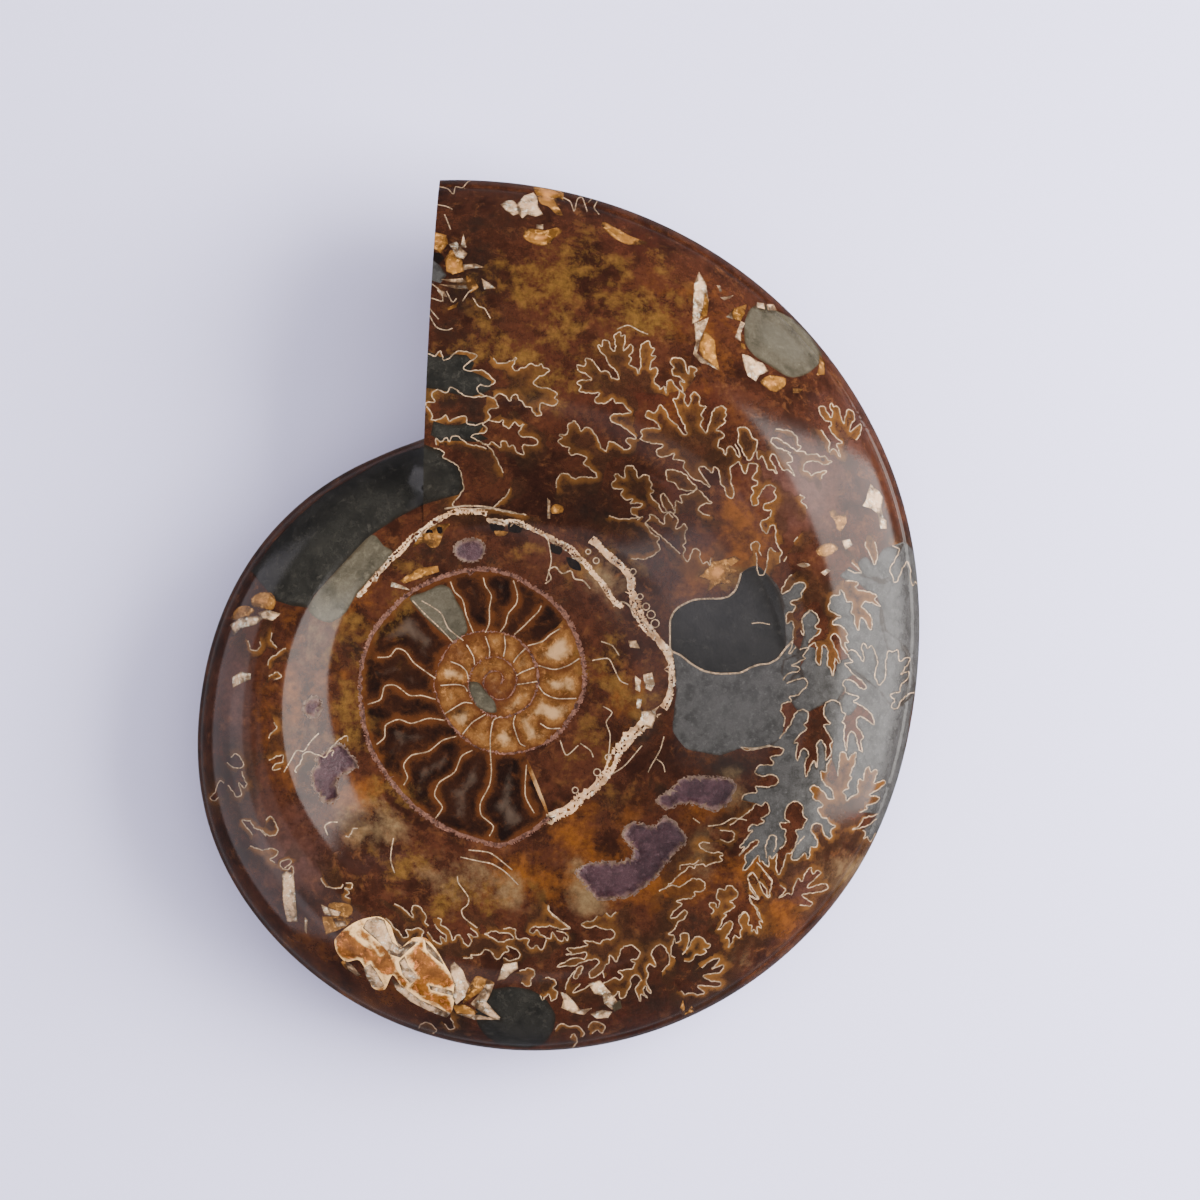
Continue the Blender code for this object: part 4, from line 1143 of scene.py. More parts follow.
class Relief:
    """The upper or under skin's height at any place, with its groove and hollows."""

    def __init__(self, groove, hollows):
        self.groove = groove
        self.hollows = [(outline, depth, search_tree(even(np.vstack((outline, outline[:1])), 0.25)))
                        for outline, depth in hollows]

    def height(self, points, side):
        height = flank_height(points, side)
        height = height - np.minimum(groove_depth(points, side, self.groove), height * 0.3)
        for outline, depth, tree in self.hollows:
            hit = np.flatnonzero(inside(points, outline))
            if len(hit):
                _, gap = nearest(tree, points[hit])
                height[hit] -= depth * soft_step(gap / HOLLOW_SLOPE)
        return height

    def normals(self, points, side):
        """Directions square to the skin, from its height a little to either side."""
        keel = section_at(turn_at(points, side))[0]
        radius = np.hypot(*points.T)
        inset = keel - radius
        rim = inset < 0.01
        away = points / np.maximum(radius, 1e-6)[:, None]
        places = np.where(rim[:, None], away * (keel - 0.02)[:, None], points)
        step = np.clip(0.3 * np.maximum(inset, 0.02), 0.004, 0.08)
        slopes = []
        for axis in ((1.0, 0.0), (0.0, 1.0)):
            shift = step[:, None] * axis
            ahead, behind = self.height(places + shift, side), self.height(places - shift, side)
            slopes.append((ahead - behind) / (2 * step))
        normals = np.column_stack((-slopes[0], -slopes[1], np.where(rim, 0.0, 1.0)))
        return normals / np.linalg.norm(normals, axis=1)[:, None]


# The sawn face: its shell's share of the outline, its walls' places along the cut and bows, and their
# reach.
SAWN_RIM_SHARE = 0.93
SAWN_WALLS = ((20.0, 4.0), (33.0, -3.0), (45.0, 5.0), (58.0, -2.0))
SAWN_WALL_REACH = 0.8


def sawn_face(cut, relief, under_relief):
    """The saw cut as a flat patch: corners as (along, height), triangles and kinds."""
    oldest_end = float(np.hypot(*outline_parts()[0][0][-1]))
    radius = np.hypot(*cut.T)
    along = cut_distance(cut)[1]
    newest = relief.height(cut, NEWEST)
    newest_under = under_relief.height(cut, NEWEST)
    inner = (radius > SLIT_START + 1e-4) & (radius < oldest_end + 1e-4)
    oldest = relief.height(cut[inner], OLDEST)
    oldest_under = under_relief.height(cut[inner], OLDEST)
    outline = np.vstack((
        np.column_stack((along, newest)),
        np.column_stack((along, -newest_under))[-2::-1],
        np.column_stack((along[inner], -oldest_under)),
        np.column_stack((along[inner], oldest))[-2::-1],
    ))
    drawing = Drawing()
    drawing.border(outline, closed=True)
    half = 0.24
    rng = np.random.default_rng(13)
    centre = np.array((along.mean(), 0.0))
    ring = centre + (outline - centre) * SAWN_RIM_SHARE
    drawing.ribbon("shell", rounded(ring[::3], 0.7, closed=True), half)
    for middle, bow in SAWN_WALLS:
        tall = SAWN_WALL_REACH * float(np.interp(along.min() + middle, along, newest))
        reach = np.linspace(-1, 1, 12)
        bowed = along.min() + middle + bow * (1 - reach**2)
        wall = np.column_stack((bowed + rng.uniform(-1.4, 1.4, 12), tall * reach))
        drawing.ribbon("suture", frilled(rounded(wall, 0.2), 1, rng), half, 1)
    low, high = outline.min(axis=0), outline.max(axis=0)
    filler = hex_grid(low, high, 1.2, 5)
    dense = np.vstack([line for _, line, *_ in drawing.lines] + [outline])
    _, gap = nearest(search_tree(dense), filler)
    filler = filler[gap > 0.5]
    corners, faces = triangulate(drawing, filler)
    middles = corners[faces].mean(axis=1)
    kept = inside(middles, outline)
    faces, middles = faces[kept], middles[kept]
    kinds, _ = classify(drawing, np.full(len(faces), "stone", dtype="U16"), middles, corners, 6)
    return corners, faces, kinds


def facing(corners, faces):
    """Turns every triangle so that its corners run anticlockwise."""
    a, b, c = (corners[faces[:, index]] for index in range(3))
    area = (b[:, 0] - a[:, 0]) * (c[:, 1] - a[:, 1]) - (b[:, 1] - a[:, 1]) * (c[:, 0] - a[:, 0])
    faces[area < 0] = faces[area < 0][:, ::-1]
    return faces


def tone_values(places, spots):
    """How strongly each tone shows at each place, one column to a tone."""
    values = np.zeros((len(places), len(TONES)))
    for tone, x, y, wide, high, strength in spots:
        away = (places - (x, y)) / (wide, high)
        column = TONES.index(tone)
        values[:, column] = np.maximum(values[:, column], strength * np.exp(-(away**2).sum(axis=1)))
    return values


def top_spots():
    spots = []
    for tone, x, y, wide, high, strength in SPOTS:
        place = on_coil(np.array(((x, y),), float))[0]
        spots.append((tone, place[0], place[1], wide * STEP, high * STEP, strength))
    return spots


def scattered_spots(rng, reach, count):
    spots = []
    for tone in TONES:
        for _ in range(count):
            x, y = rng.uniform(-reach, reach, 2)
            spots.append((tone, x, y, rng.uniform(6, 16), rng.uniform(6, 16), rng.uniform(0.4, 0.8)))
    return spots


# Where each patch lies on the texture: its lower left corner, and texture widths per millimetre.
TOP_SPREAD = (0.012, 0.012, 0.00405)
UNDER_SPREAD = (0.70, 0.05, 0.00178)
SAWN_SPREAD = (0.05, 0.812, 0.0039)
EDGE_STRETCH = 0.35


def spread(places, layout):
    left, bottom, scale = layout
    return (places - places.min(axis=0)) * scale + (left, bottom)


def stretched(corners, height):
    """The flat layout with its steep edge spread wider, so the texture has room for it."""
    radius = np.hypot(*corners.T)
    ridge_height = 0.215 * 104
    outer = soft_step((radius - 34) / 18)
    grow = 1 + EDGE_STRETCH * (ridge_height - height) * outer / np.maximum(radius, 1)
    return corners * grow[:, None]


def flank_patch(drawing, relief, spacing, seed, spots, layout, upward):
    corners, faces, kinds, side, depths, cut = build_flank(drawing, spacing, seed)
    faces = facing(corners, faces)
    height = relief.height(corners, side)
    normals = relief.normals(corners, side)
    uv = spread(stretched(corners, height), layout)
    sign = 1.0 if upward else -1.0
    places = np.column_stack((corners, sign * height))
    normals = normals * (1, 1, sign)
    if not upward:
        faces = faces[:, ::-1]
    tones = tone_values(corners, spots)
    patch = dict(places=places, faces=faces, kinds=kinds, normals=normals, uv=uv, depths=depths,
                 tones=tones)
    return patch, cut


def sawn_patch(cut, relief, under_relief):
    corners, faces, kinds = sawn_face(cut, relief, under_relief)
    faces = facing(corners, faces)[:, ::-1]
    flat = CUT_INNER + corners[:, :1] * CUT_ALONG
    count = len(corners)
    return dict(
        places=np.column_stack((flat, corners[:, 1])),
        faces=faces,
        kinds=kinds,
        normals=np.tile((-CUT_ALONG[1], CUT_ALONG[0], 0.0), (count, 1)),
        uv=spread(corners, SAWN_SPREAD),
        depths=np.full((count, len(DEPTH_NAMES)), NO_LEAF),
        tones=tone_values(corners - corners.mean(axis=0), scattered_spots(np.random.default_rng(3), 30, 4)),
    )


def join_patches(patches):
    """One skin from several patches, with corners that meet made into one."""
    starts = np.cumsum([0] + [len(patch["places"]) for patch in patches])
    names = [name for name in patches[0] if name != "faces"]
    joined = {name: np.concatenate([patch[name] for patch in patches]) for name in names}
    faces = np.vstack([patch["faces"] + start for patch, start in zip(patches, starts)])
    places = np.round(joined["places"], 3)
    _, first, same = np.unique(places, axis=0, return_index=True, return_inverse=True)
    same = same.ravel()
    distinct = (same[faces[:, 0]] != same[faces[:, 1]]) & (same[faces[:, 1]] != same[faces[:, 2]])
    distinct &= same[faces[:, 0]] != same[faces[:, 2]]
    joined["kinds"] = joined["kinds"][distinct]
    return joined, faces[distinct], first, same


def coil_centre():
    """Where the coil's centre lies in the frame, from the keel's outline and the solid's box."""
    keel = outline_parts()[0][0]
    leaned = np.column_stack((keel, np.zeros(len(keel)))) @ np.array(LEAN).T
    lows, highs = (np.array(corner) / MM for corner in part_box("ammonite"))
    centre = (lows + highs) / 2 - (leaned.min(axis=0) + leaned.max(axis=0)) / 2
    return centre, highs[2]


# How far the smooth skin stands above the solid's facets.
SKIN_STANDS = 0.3


def in_the_frame(places):
    """Leans the shell as it lies, fits it to the solid's box and levels what touches the ground."""
    leaned = places @ np.array(LEAN).T
    centre, top = coil_centre()
    centre[2] = top + SKIN_STANDS - leaned[:, 2].max()
    leaned += centre
    leaned[:, 2] = np.maximum(leaned[:, 2], 0.0)
    return leaned * MM


def add_skin(sizes):
    hollows = [(outline, depth * sizes.hollow_depth / MM)
               for outline, (depth, _) in zip(hollow_outlines(), HOLLOWS)]
    groove = sizes.groove_depth / MM
    relief, under_relief = Relief(groove, hollows), Relief(groove, [])
    top, cut = flank_patch(draw_top(sizes), relief, FILL_SPACING, 1, top_spots(), TOP_SPREAD, True)
    rng = np.random.default_rng(11)
    under, _ = flank_patch(
        draw_under(sizes), under_relief, UNDER_SPACING, 2, scattered_spots(rng, 75, 9), UNDER_SPREAD, False
    )
    sawn = sawn_patch(cut, relief, under_relief)
    joined, faces, first, same = join_patches((top, under, sawn))

    mesh = bpy.data.meshes.new("polished_ammonite")
    used, corners = np.unique(same[faces], return_inverse=True)
    corners = corners.reshape(faces.shape)
    first = first[used]
    mesh.vertices.add(len(first))
    mesh.vertices.foreach_set("co", in_the_frame(joined["places"][first]).astype(np.float32).ravel())
    mesh.loops.add(corners.size)
    mesh.loops.foreach_set("vertex_index", corners.ravel().astype(np.int32))
    mesh.polygons.add(len(faces))
    mesh.polygons.foreach_set("loop_start", np.arange(0, corners.size, 3, dtype=np.int32))
    slots = np.array([KINDS.index(kind) for kind in joined["kinds"]], np.int32)
    mesh.polygons.foreach_set("material_index", slots)
    mesh.update(calc_edges=True)
    layer = mesh.uv_layers.new(name="OFBake")
    layer.data.foreach_set("uv", joined["uv"][faces].astype(np.float32).ravel())
    tones = joined["tones"][first]
    cool = np.column_stack((tones[:, 4:], tones[:, :2]))
    for name, columns in (("warm_tones", tones[:, :4]), ("cool_tones", cool)):
        attribute = mesh.color_attributes.new(name, "FLOAT_COLOR", "POINT")
        attribute.data.foreach_set("color", columns.astype(np.float32).ravel())
    for name, column in zip(DEPTH_NAMES, joined["depths"][first].T):
        attribute = mesh.attributes.new(name, "FLOAT", "POINT")
        attribute.data.foreach_set("value", column.astype(np.float32))
    mesh.shade_smooth()
    normals = (joined["normals"] @ np.array(LEAN).T)[faces].reshape(-1, 3)
    mesh.normals_split_custom_set(normals.tolist())
    skin = bpy.data.objects.new("polished_ammonite", mesh)
    bpy.context.scene.collection.objects.link(skin)
    return skin


# How bright the stage's light makes a white surface, and how much the camera holds back bright tones.
LIGHT_LEVEL = 3.4
HOLD_BACK = 1.2


def seen_as(*screen):
    """The surface colour that looks like this, in screen values out of 255, under the stage's light."""
    values = []
    for value in screen:
        linear = ((value / 255 + 0.055) / 1.055) ** 2.4
        values.append(min(linear / max(1 - HOLD_BACK * linear**2, 0.2) / LIGHT_LEVEL, 0.88))
    return tuple(values)


def join(tree, value, socket):
    if isinstance(value, bpy.types.NodeSocket):
        tree.links.new(value, socket)
    elif hasattr(socket.default_value, "__len__") and len(socket.default_value) == 4:
        socket.default_value = (*value[:3], 1.0)
    else:
        socket.default_value = value


def mix(tree, share, first, second, blend="MIX"):
    node = tree.nodes.new("ShaderNodeMix")
    node.data_type, node.blend_type = "RGBA", blend
    for value, index in ((share, 0), (first, 6), (second, 7)):
        join(tree, value, node.inputs[index])
    return node.outputs[2]


def math_node(tree, operation, *values):
    node = tree.nodes.new("ShaderNodeMath")
    node.operation = operation
    for value, socket in zip(values, node.inputs):
        join(tree, value, socket)
    return node.outputs[0]


def ramp(tree, value, low, high, start=0.0, end=1.0):
    node = tree.nodes.new("ShaderNodeMapRange")
    node.interpolation_type = "SMOOTHSTEP"
    for item, socket in zip((value, low, high, start, end), node.inputs):
        join(tree, item, socket)
    return node.outputs[0]


def noise(tree, scale, detail=4.0, roughness=0.55, distortion=0.0):
    """Cloudy noise through the stone. Its scale is in lumps to a metre."""
    place = tree.nodes.new("ShaderNodeTexCoord").outputs["Object"]
    node = tree.nodes.new("ShaderNodeTexNoise")
    for name, value in (("Vector", place), ("Scale", scale), ("Detail", detail), ("Roughness", roughness),
                        ("Distortion", distortion)):
        join(tree, value, node.inputs[name])
    return node.outputs[0]


def new_group(name, inputs, outputs):
    """A shader group with named inputs, given as (name, kind, default), and outputs."""
    tree = bpy.data.node_groups.new(name, "ShaderNodeTree")
    for label, kind, default in inputs:
        socket = tree.interface.new_socket(label, in_out="INPUT", socket_type=kind)
        socket.default_value = (*default, 1.0) if kind == "NodeSocketColor" else default
    for label, kind in outputs:
        tree.interface.new_socket(label, in_out="OUTPUT", socket_type=kind)
    return tree, tree.nodes.new("NodeGroupInput").outputs, tree.nodes.new("NodeGroupOutput").inputs


def use_group(tree, name, **values):
    node = tree.nodes.new("ShaderNodeGroup")
    node.node_tree = bpy.data.node_groups[name]
    for label, value in values.items():
        join(tree, value, node.inputs[label.replace("_", " ").title()])
    return node.outputs


COLOUR, NUMBER = "NodeSocketColor", "NodeSocketFloat"


def build_groups():
    tree, given, result = new_group(
        "mottled_stone",
        (("Deep", COLOUR, (0, 0, 0)), ("Body", COLOUR, (0.5, 0.5, 0.5)), ("Light", COLOUR, (1, 1, 1)),
         ("Lumps", NUMBER, 100.0), ("Warp", NUMBER, 1.0)),
        (("Color", COLOUR),),
    )
    cloud = noise(tree, given["Lumps"], 6.0, 0.62, given["Warp"])
    speck = noise(tree, math_node(tree, "MULTIPLY", given["Lumps"], 3.1), 5.0, 0.7, 0.4)
    flecks = noise(tree, math_node(tree, "MULTIPLY", given["Lumps"], 9.0), 3.0, 0.7)
    colour = mix(tree, ramp(tree, cloud, 0.36, 0.6), given["Deep"], given["Body"])
    colour = mix(tree, ramp(tree, speck, 0.5, 0.78), colour, given["Light"])
    shade = mix(tree, ramp(tree, flecks, 0.25, 0.75), (0.72, 0.7, 0.68), (1.0, 1.0, 1.0))
    tree.links.new(mix(tree, 1.0, colour, shade, "MULTIPLY"), result["Color"])

    tree, given, result = new_group(
        "tone_spot",
        (("Base", COLOUR, (0, 0, 0)), ("Tone", COLOUR, (1, 1, 1)), ("Amount", NUMBER, 0.0),
         ("Lumps", NUMBER, 100.0),
         ("Breakup", NUMBER, 2.0)),
        (("Color", COLOUR),),
    )
    breakup = noise(tree, given["Lumps"], 10.0, 0.72, 0.15)
    swing = math_node(tree, "MULTIPLY", math_node(tree, "SUBTRACT", breakup, 0.5), given["Breakup"])
    total = math_node(tree, "ADD", given["Amount"], swing)
    share = math_node(tree, "MULTIPLY", ramp(tree, total, 0.2, 1.1),
                      math_node(tree, "MINIMUM", given["Amount"], 0.3))
    share = math_node(tree, "MULTIPLY", share, 2.9)
    tree.links.new(mix(tree, share, given["Base"], given["Tone"]), result["Color"])

    tree, given, result = new_group(
        "leaf_glow",
        (("Base", COLOUR, (0, 0, 0)), ("Glow", COLOUR, (1, 1, 1)), ("Inner", COLOUR, (0, 0, 0)),
         ("Reach", NUMBER, 1.0), ("Depth", NUMBER, 0.0)),
        (("Color", COLOUR),),
    )
    lumps = noise(tree, 160.0, 8.0, 0.65)
    reach = math_node(tree, "MULTIPLY", given["Reach"], math_node(tree, "MULTIPLY_ADD", lumps, 5.0, -1.7))
    reach = math_node(tree, "MAXIMUM", reach, 0.05)
    edge = ramp(tree, math_node(tree, "DIVIDE", given["Depth"], reach), 0.0, 1.5, 0.75, 0.0)
    edge = math_node(tree, "MULTIPLY", edge, ramp(tree, noise(tree, 55.0, 3.0), 0.4, 0.6, 0.35, 1.0))
    deep = ramp(tree, given["Depth"], 1.4, 4.5, 0.5, 0.0)
    colour = mix(tree, deep, given["Base"], given["Inner"])
    tree.links.new(mix(tree, edge, colour, given["Glow"]), result["Color"])

    tree, given, result = new_group(
        "shaded_by_depth",
        (("Base", COLOUR, (0, 0, 0)), ("Edge", COLOUR, (1, 1, 1)), ("Core", COLOUR, (1, 1, 1)),
         ("Edge Reach", NUMBER, 0.8), ("Core Start", NUMBER, 1.5), ("Core Share", NUMBER, 0.6),
         ("Swing", NUMBER, 1.0), ("Lumps", NUMBER, 200.0), ("Depth", NUMBER, 0.0)),
        (("Color", COLOUR),),
    )
    lumps = math_node(tree, "SUBTRACT", noise(tree, given["Lumps"], 7.0, 0.65, 0.3), 0.5)
    depth = math_node(tree, "ADD", given["Depth"], math_node(tree, "MULTIPLY", lumps, given["Swing"]))
    edge = ramp(tree, math_node(tree, "DIVIDE", depth, given["Edge Reach"]), -0.2, 1.2, 0.85, 0.0)
    colour = mix(tree, edge, given["Base"], given["Edge"])
    past = math_node(tree, "SUBTRACT", depth, given["Core Start"])
    past = math_node(tree, "DIVIDE", past, given["Core Start"])
    core = math_node(tree, "MULTIPLY", ramp(tree, past, 0.0, 1.2), given["Core Share"])
    tree.links.new(mix(tree, core, colour, given["Core"]), result["Color"])

    tree, given, result = new_group(
        "fine_flecks",
        (("Base", COLOUR, (0, 0, 0)), ("Lumps", NUMBER, 900.0), ("Dark", NUMBER, 0.7),
         ("Bright", NUMBER, 1.2)),
        (("Color", COLOUR),),
    )
    flecks = noise(tree, given["Lumps"], 6.0, 0.75)
    level = ramp(tree, flecks, 0.32, 0.68, given["Dark"], given["Bright"])
    tree.links.new(mix(tree, 1.0, given["Base"], level, "MULTIPLY"), result["Color"])

    tree, given, result = new_group(
        "fine_grain",
        (("Lumps", NUMBER, 1000.0), ("Strength", NUMBER, 0.2)),
        (("Normal", "NodeSocketVector"),),
    )
    bump = tree.nodes.new("ShaderNodeBump")
    join(tree, noise(tree, given["Lumps"], 4.0, 0.7), bump.inputs["Height"])
    join(tree, given["Strength"], bump.inputs["Strength"])
    join(tree, 0.0004, bump.inputs["Distance"])
    tree.links.new(bump.outputs[0], result["Normal"])


def held_value(tree, name):
    """A value that the skin's corners hold."""
    node = tree.nodes.new("ShaderNodeAttribute")
    node.attribute_name = name
    return node.outputs["Fac"]


def toned(tree, colour, sizes):
    """Lays the soft spots of other tones over a colour."""
    tones = []
    for name in ("cool_tones", "warm_tones"):
        attribute = tree.nodes.new("ShaderNodeAttribute")
        attribute.attribute_name = name
        split = tree.nodes.new("ShaderNodeSeparateColor")
        tree.links.new(attribute.outputs["Color"], split.inputs[0])
        tones.append((split.outputs, attribute.outputs["Alpha"]))
    (cool, _), (warm, pale) = tones
    for amount, tone, lumps, breakup in (
        (cool[1], sizes.red_tone, 90.0, 2.6), (cool[0], sizes.mauve_and_sheen_tone, 70.0, 1.6),
        (warm[0], sizes.amber_tone, 120.0, 3.6), (warm[2], sizes.dark_tone, 110.0, 3.6),
        (warm[1], sizes.gold_tone, 170.0, 4.4), (pale, sizes.pale_and_highlight_tone, 110.0, 2.6),
    ):
        colour = use_group(tree, "tone_spot", base=colour, tone=tone, amount=amount, lumps=lumps,
                           breakup=breakup)["Color"]
    return colour


def stone_colour(tree, sizes):
    """The base stone: mottled brown with soft spots of other tones, and the glow inside the suture leaves."""
    colour = use_group(tree, "mottled_stone", deep=sizes.stone_deep, body=sizes.stone_body,
                       light=sizes.stone_light,
                       lumps=110.0, warp=0.2)["Color"]
    colour = toned(tree, colour, sizes)
    colour = use_group(tree, "leaf_glow", base=colour, glow=sizes.leaf_glow, inner=sizes.leaf_inner,
                       reach=1.0,
                       depth=held_value(tree, "leaf_depth"))["Color"]
    return use_group(tree, "fine_flecks", base=colour, lumps=800.0, dark=0.74, bright=1.22)["Color"]


# Every kind of skin: its deep, body and light colours as screen values, lumps to a metre, roughness and
# grain.
PLAIN_KINDS = {
    # The slate's colours are lighter than the stone itself, partly to stand for the sheen on the right flank:
    # a painted reflection.
    "slate": ((84, 82, 78), (110, 108, 104), (136, 134, 130), 380.0, 0.2, 0.12),
    # Darker slate for the bowl: painted shade on the dish's wall.
    "bowl_slate": ((36, 35, 31), (52, 50, 46), (78, 75, 68), 190.0, 0.15, 0.07),
    "deep_slate": ((46, 45, 40), (66, 64, 57), (94, 90, 80), 190.0, 0.16, 0.08),
    "pale_slate": ((94, 88, 70), (124, 116, 96), (150, 142, 120), 170.0, 0.2, 0.08),
    "shell": ((160, 134, 100), (222, 210, 186), (246, 240, 226), 330.0, 0.22, 0.15),
    "gold": ((140, 96, 34), (194, 152, 74), (232, 214, 160), 240.0, 0.16, 0.1),
    "amber": ((136, 82, 24), (190, 136, 56), (232, 200, 138), 220.0, 0.14, 0.05),
    # Small holes are left flat and painted dark: painted shade inside them.
    "dark_hole": ((22, 15, 12), (34, 24, 18), (56, 40, 30), 300.0, 0.25, 0.1),
    "druse": ((74, 46, 52), (106, 72, 78), (140, 106, 110), 260.0, 0.3, 0.7),
    "rim": ((110, 82, 66), (150, 124, 104), (190, 170, 148), 700.0, 0.35, 0.5),
    "granular": ((70, 38, 28), (150, 108, 88), (214, 182, 160), 900.0, 0.3, 0.3),
    "honey": ((120, 76, 32), (168, 122, 64), (202, 164, 104), 300.0, 0.1, 0.04),
    "dark_chamber": ((34, 18, 12), (64, 35, 21), (104, 60, 32), 160.0, 0.08, 0.04),
    "suture": ((150, 132, 106), (202, 188, 164), (230, 220, 202), 600.0, 0.2, 0.0),
}
# Kinds that change with depth: which depth, edge colour and reach, core colour, start and share,
# unevenness and lumps.
DEPTH_SHADES = {
    "honey": ("line_depth", (104, 56, 26), 1.0, (208, 188, 148), 1.2, 0.7, 5.0, 200.0),
    "dark_chamber": ("line_depth", (118, 68, 32), 1.2, (140, 120, 102), 2.2, 0.55, 5.0, 200.0),
    "shell": ("edge_depth", (66, 40, 22), 0.3, (206, 176, 132), 0.8, 0.35, 1.6, 420.0),
    "gold": ("edge_depth", (60, 34, 16), 0.3, (222, 194, 130), 0.8, 0.5, 1.6, 420.0),
    "amber": ("edge_depth", (238, 220, 190), 0.6, (158, 98, 34), 1.6, 0.6, 4.0, 300.0),
    # The druse's dark middle is painted shade in the hollow; its pale edge is the crystal rim.
    "druse": ("edge_depth", (158, 128, 116), 0.6, (66, 40, 46), 2.4, 0.6, 3.0, 300.0),
    "slate": ("edge_depth", (58, 46, 34), 0.4, (114, 112, 108), 3.0, 0.3, 2.0, 300.0),
    "bowl_slate": ("edge_depth", (44, 36, 26), 0.6, (66, 63, 58), 5.0, 0.4, 2.0, 300.0),
    "deep_slate": ("edge_depth", (44, 36, 26), 0.8, (78, 76, 68), 3.0, 0.3, 2.0, 300.0),
    "pale_slate": ("edge_depth", (74, 60, 38), 0.5, (136, 130, 112), 2.0, 0.4, 2.0, 300.0),
}
CHAMBERS = ("honey", "dark_chamber")
KINDS = ("stone", *PLAIN_KINDS)


def skin_material(kind, sizes):
    material = bpy.data.materials.new(kind)
    material.use_nodes = True
    tree = material.node_tree
    shader = tree.nodes["Principled BSDF"]
    roughness, grain = sizes.polish, 0.03
    if kind == "stone":
        colour = stone_colour(tree, sizes)
    else:
        deep, body, light, lumps, roughness, grain = PLAIN_KINDS[kind]
        colour = use_group(tree, "mottled_stone", deep=seen_as(*deep), body=seen_as(*body),
                           light=seen_as(*light), lumps=lumps, warp=0.3)["Color"]
    if kind in DEPTH_SHADES:
        depth, edge, reach, core, start, share, swing, lumps = DEPTH_SHADES[kind]
        colour = use_group(tree, "shaded_by_depth", base=colour, edge=seen_as(*edge), edge_reach=reach,
                           core=seen_as(*core), core_start=start, core_share=share, swing=swing,
                           lumps=lumps,
                           depth=held_value(tree, depth))["Color"]
    if kind in CHAMBERS:
        colour = toned(tree, colour, sizes)
    tree.links.new(colour, shader.inputs["Base Color"])
    shader.inputs["Roughness"].default_value = roughness
    shader.inputs["Metallic"].default_value = 0.0
    shader.inputs["IOR"].default_value = 1.5
    shader.inputs["Specular IOR Level"].default_value = 0.45
    if grain:
        normal = use_group(tree, "fine_grain", lumps=1600.0, strength=grain)["Normal"]
        tree.links.new(normal, shader.inputs["Normal"])
    return material


def colour_setting(name, description, red, green, blue):
    return FloatVectorProperty(name=name, description=description, default=seen_as(red, green, blue),
                               subtype="COLOR",
                               min=0.0, max=1.0)


def brightness(name, description, default):
    return FloatProperty(name=name, description=description, default=default, min=0.0, max=50.0)


class FossilSettings(bpy.types.PropertyGroup):
    """Sizes and colours of the ammonite's skin."""

    suture_width: FloatProperty(
        name="Suture Width", description="Width of a suture line",
        default=0.00023, unit="LENGTH", min=0.0001, max=0.002
    )
    groove_depth: FloatProperty(
        name="Groove Depth", description="Depth of the groove beside the keel",
        default=0.0007, unit="LENGTH", min=0.0, max=0.002
    )
    hollow_depth: FloatProperty(
        name="Hollow Depth", description="Depth of a crystal-lined hollow",
        default=0.001, unit="LENGTH", min=0.0, max=0.003
    )
    polish: FloatProperty(
        name="Polish Roughness", description="How dull the polished stone is",
        default=0.12, subtype="FACTOR", min=0.0, max=1.0
    )
    stone_deep: colour_setting("Deep Stone", "Darkest brown of the stone", 64, 33, 20)
    stone_body: colour_setting("Stone", "Main brown of the stone", 104, 58, 36)
    stone_light: colour_setting("Light Stone", "Lightest flecks of the stone", 142, 92, 54)
    red_tone: colour_setting("Red Tone", "Reddish parts of the stone", 98, 48, 30)
    # The mauve tone is partly the stone's pinkish brown and partly painted sheen on the flanks.
    mauve_and_sheen_tone: colour_setting("Mauve Tone", "Pinkish brown parts of the stone", 128, 88, 76)
    amber_tone: colour_setting("Amber Tone", "Amber parts of the stone", 152, 94, 36)
    gold_tone: colour_setting("Gold Tone", "Golden brown parts of the stone", 146, 108, 50)
    dark_tone: colour_setting("Dark Tone", "Blackish parts of the stone", 44, 32, 24)
    # The pale tone is cloudy crystal, and on the left wall of the dish a painted highlight.
    pale_and_highlight_tone: colour_setting("Pale Tone", "Cloudy pale crystal", 160, 136, 96)
    leaf_glow: colour_setting("Leaf Edge", "Amber edge inside a suture leaf", 160, 112, 52)
    leaf_inner: colour_setting("Leaf Inside", "Dark stone inside a suture leaf", 66, 46, 28)


class StageSettings(bpy.types.PropertyGroup):
    """The floor, the light and the camera."""

    floor_size: FloatProperty(
        name="Floor Size", description="Side of the square floor",
        default=4.0, unit="LENGTH", min=0.5, max=20.0
    )
    floor_colour: FloatVectorProperty(
        name="Floor", description="Colour of the floor",
        default=(0.7, 0.685, 0.94), subtype="COLOR", min=0.0, max=1.0
    )
    window_brightness: brightness("Window Brightness", "Brightness of the low window on the right", 19.0)
    left_brightness: brightness("Left Brightness", "Brightness of the soft light from the left", 4.0)
    overhead_brightness: brightness("Overhead Brightness", "Brightness of the wide light above", 2.7)
    side_brightness: brightness("Side Brightness", "Brightness of the near light on the right", 15.0)
    sky_strength: FloatProperty(
        name="Sky Strength", description="Strength of the even light from all round",
        default=0.18, subtype="FACTOR", min=0.0, max=5.0
    )


class AddFossil(bpy.types.Operator):
    """Add the ammonite's polished skin in place of the plain solid"""

    bl_idname = "ammonite.add_fossil"
    bl_label = "Add Ammonite"

    def execute(self, context):
        settings = context.scene.fossil_settings
        build_groups()
        skin = add_skin(settings)
        for kind in KINDS:
            skin.data.materials.append(skin_material(kind, settings))
        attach(skin, "root")
        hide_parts("ammonite")
        return {"FINISHED"}


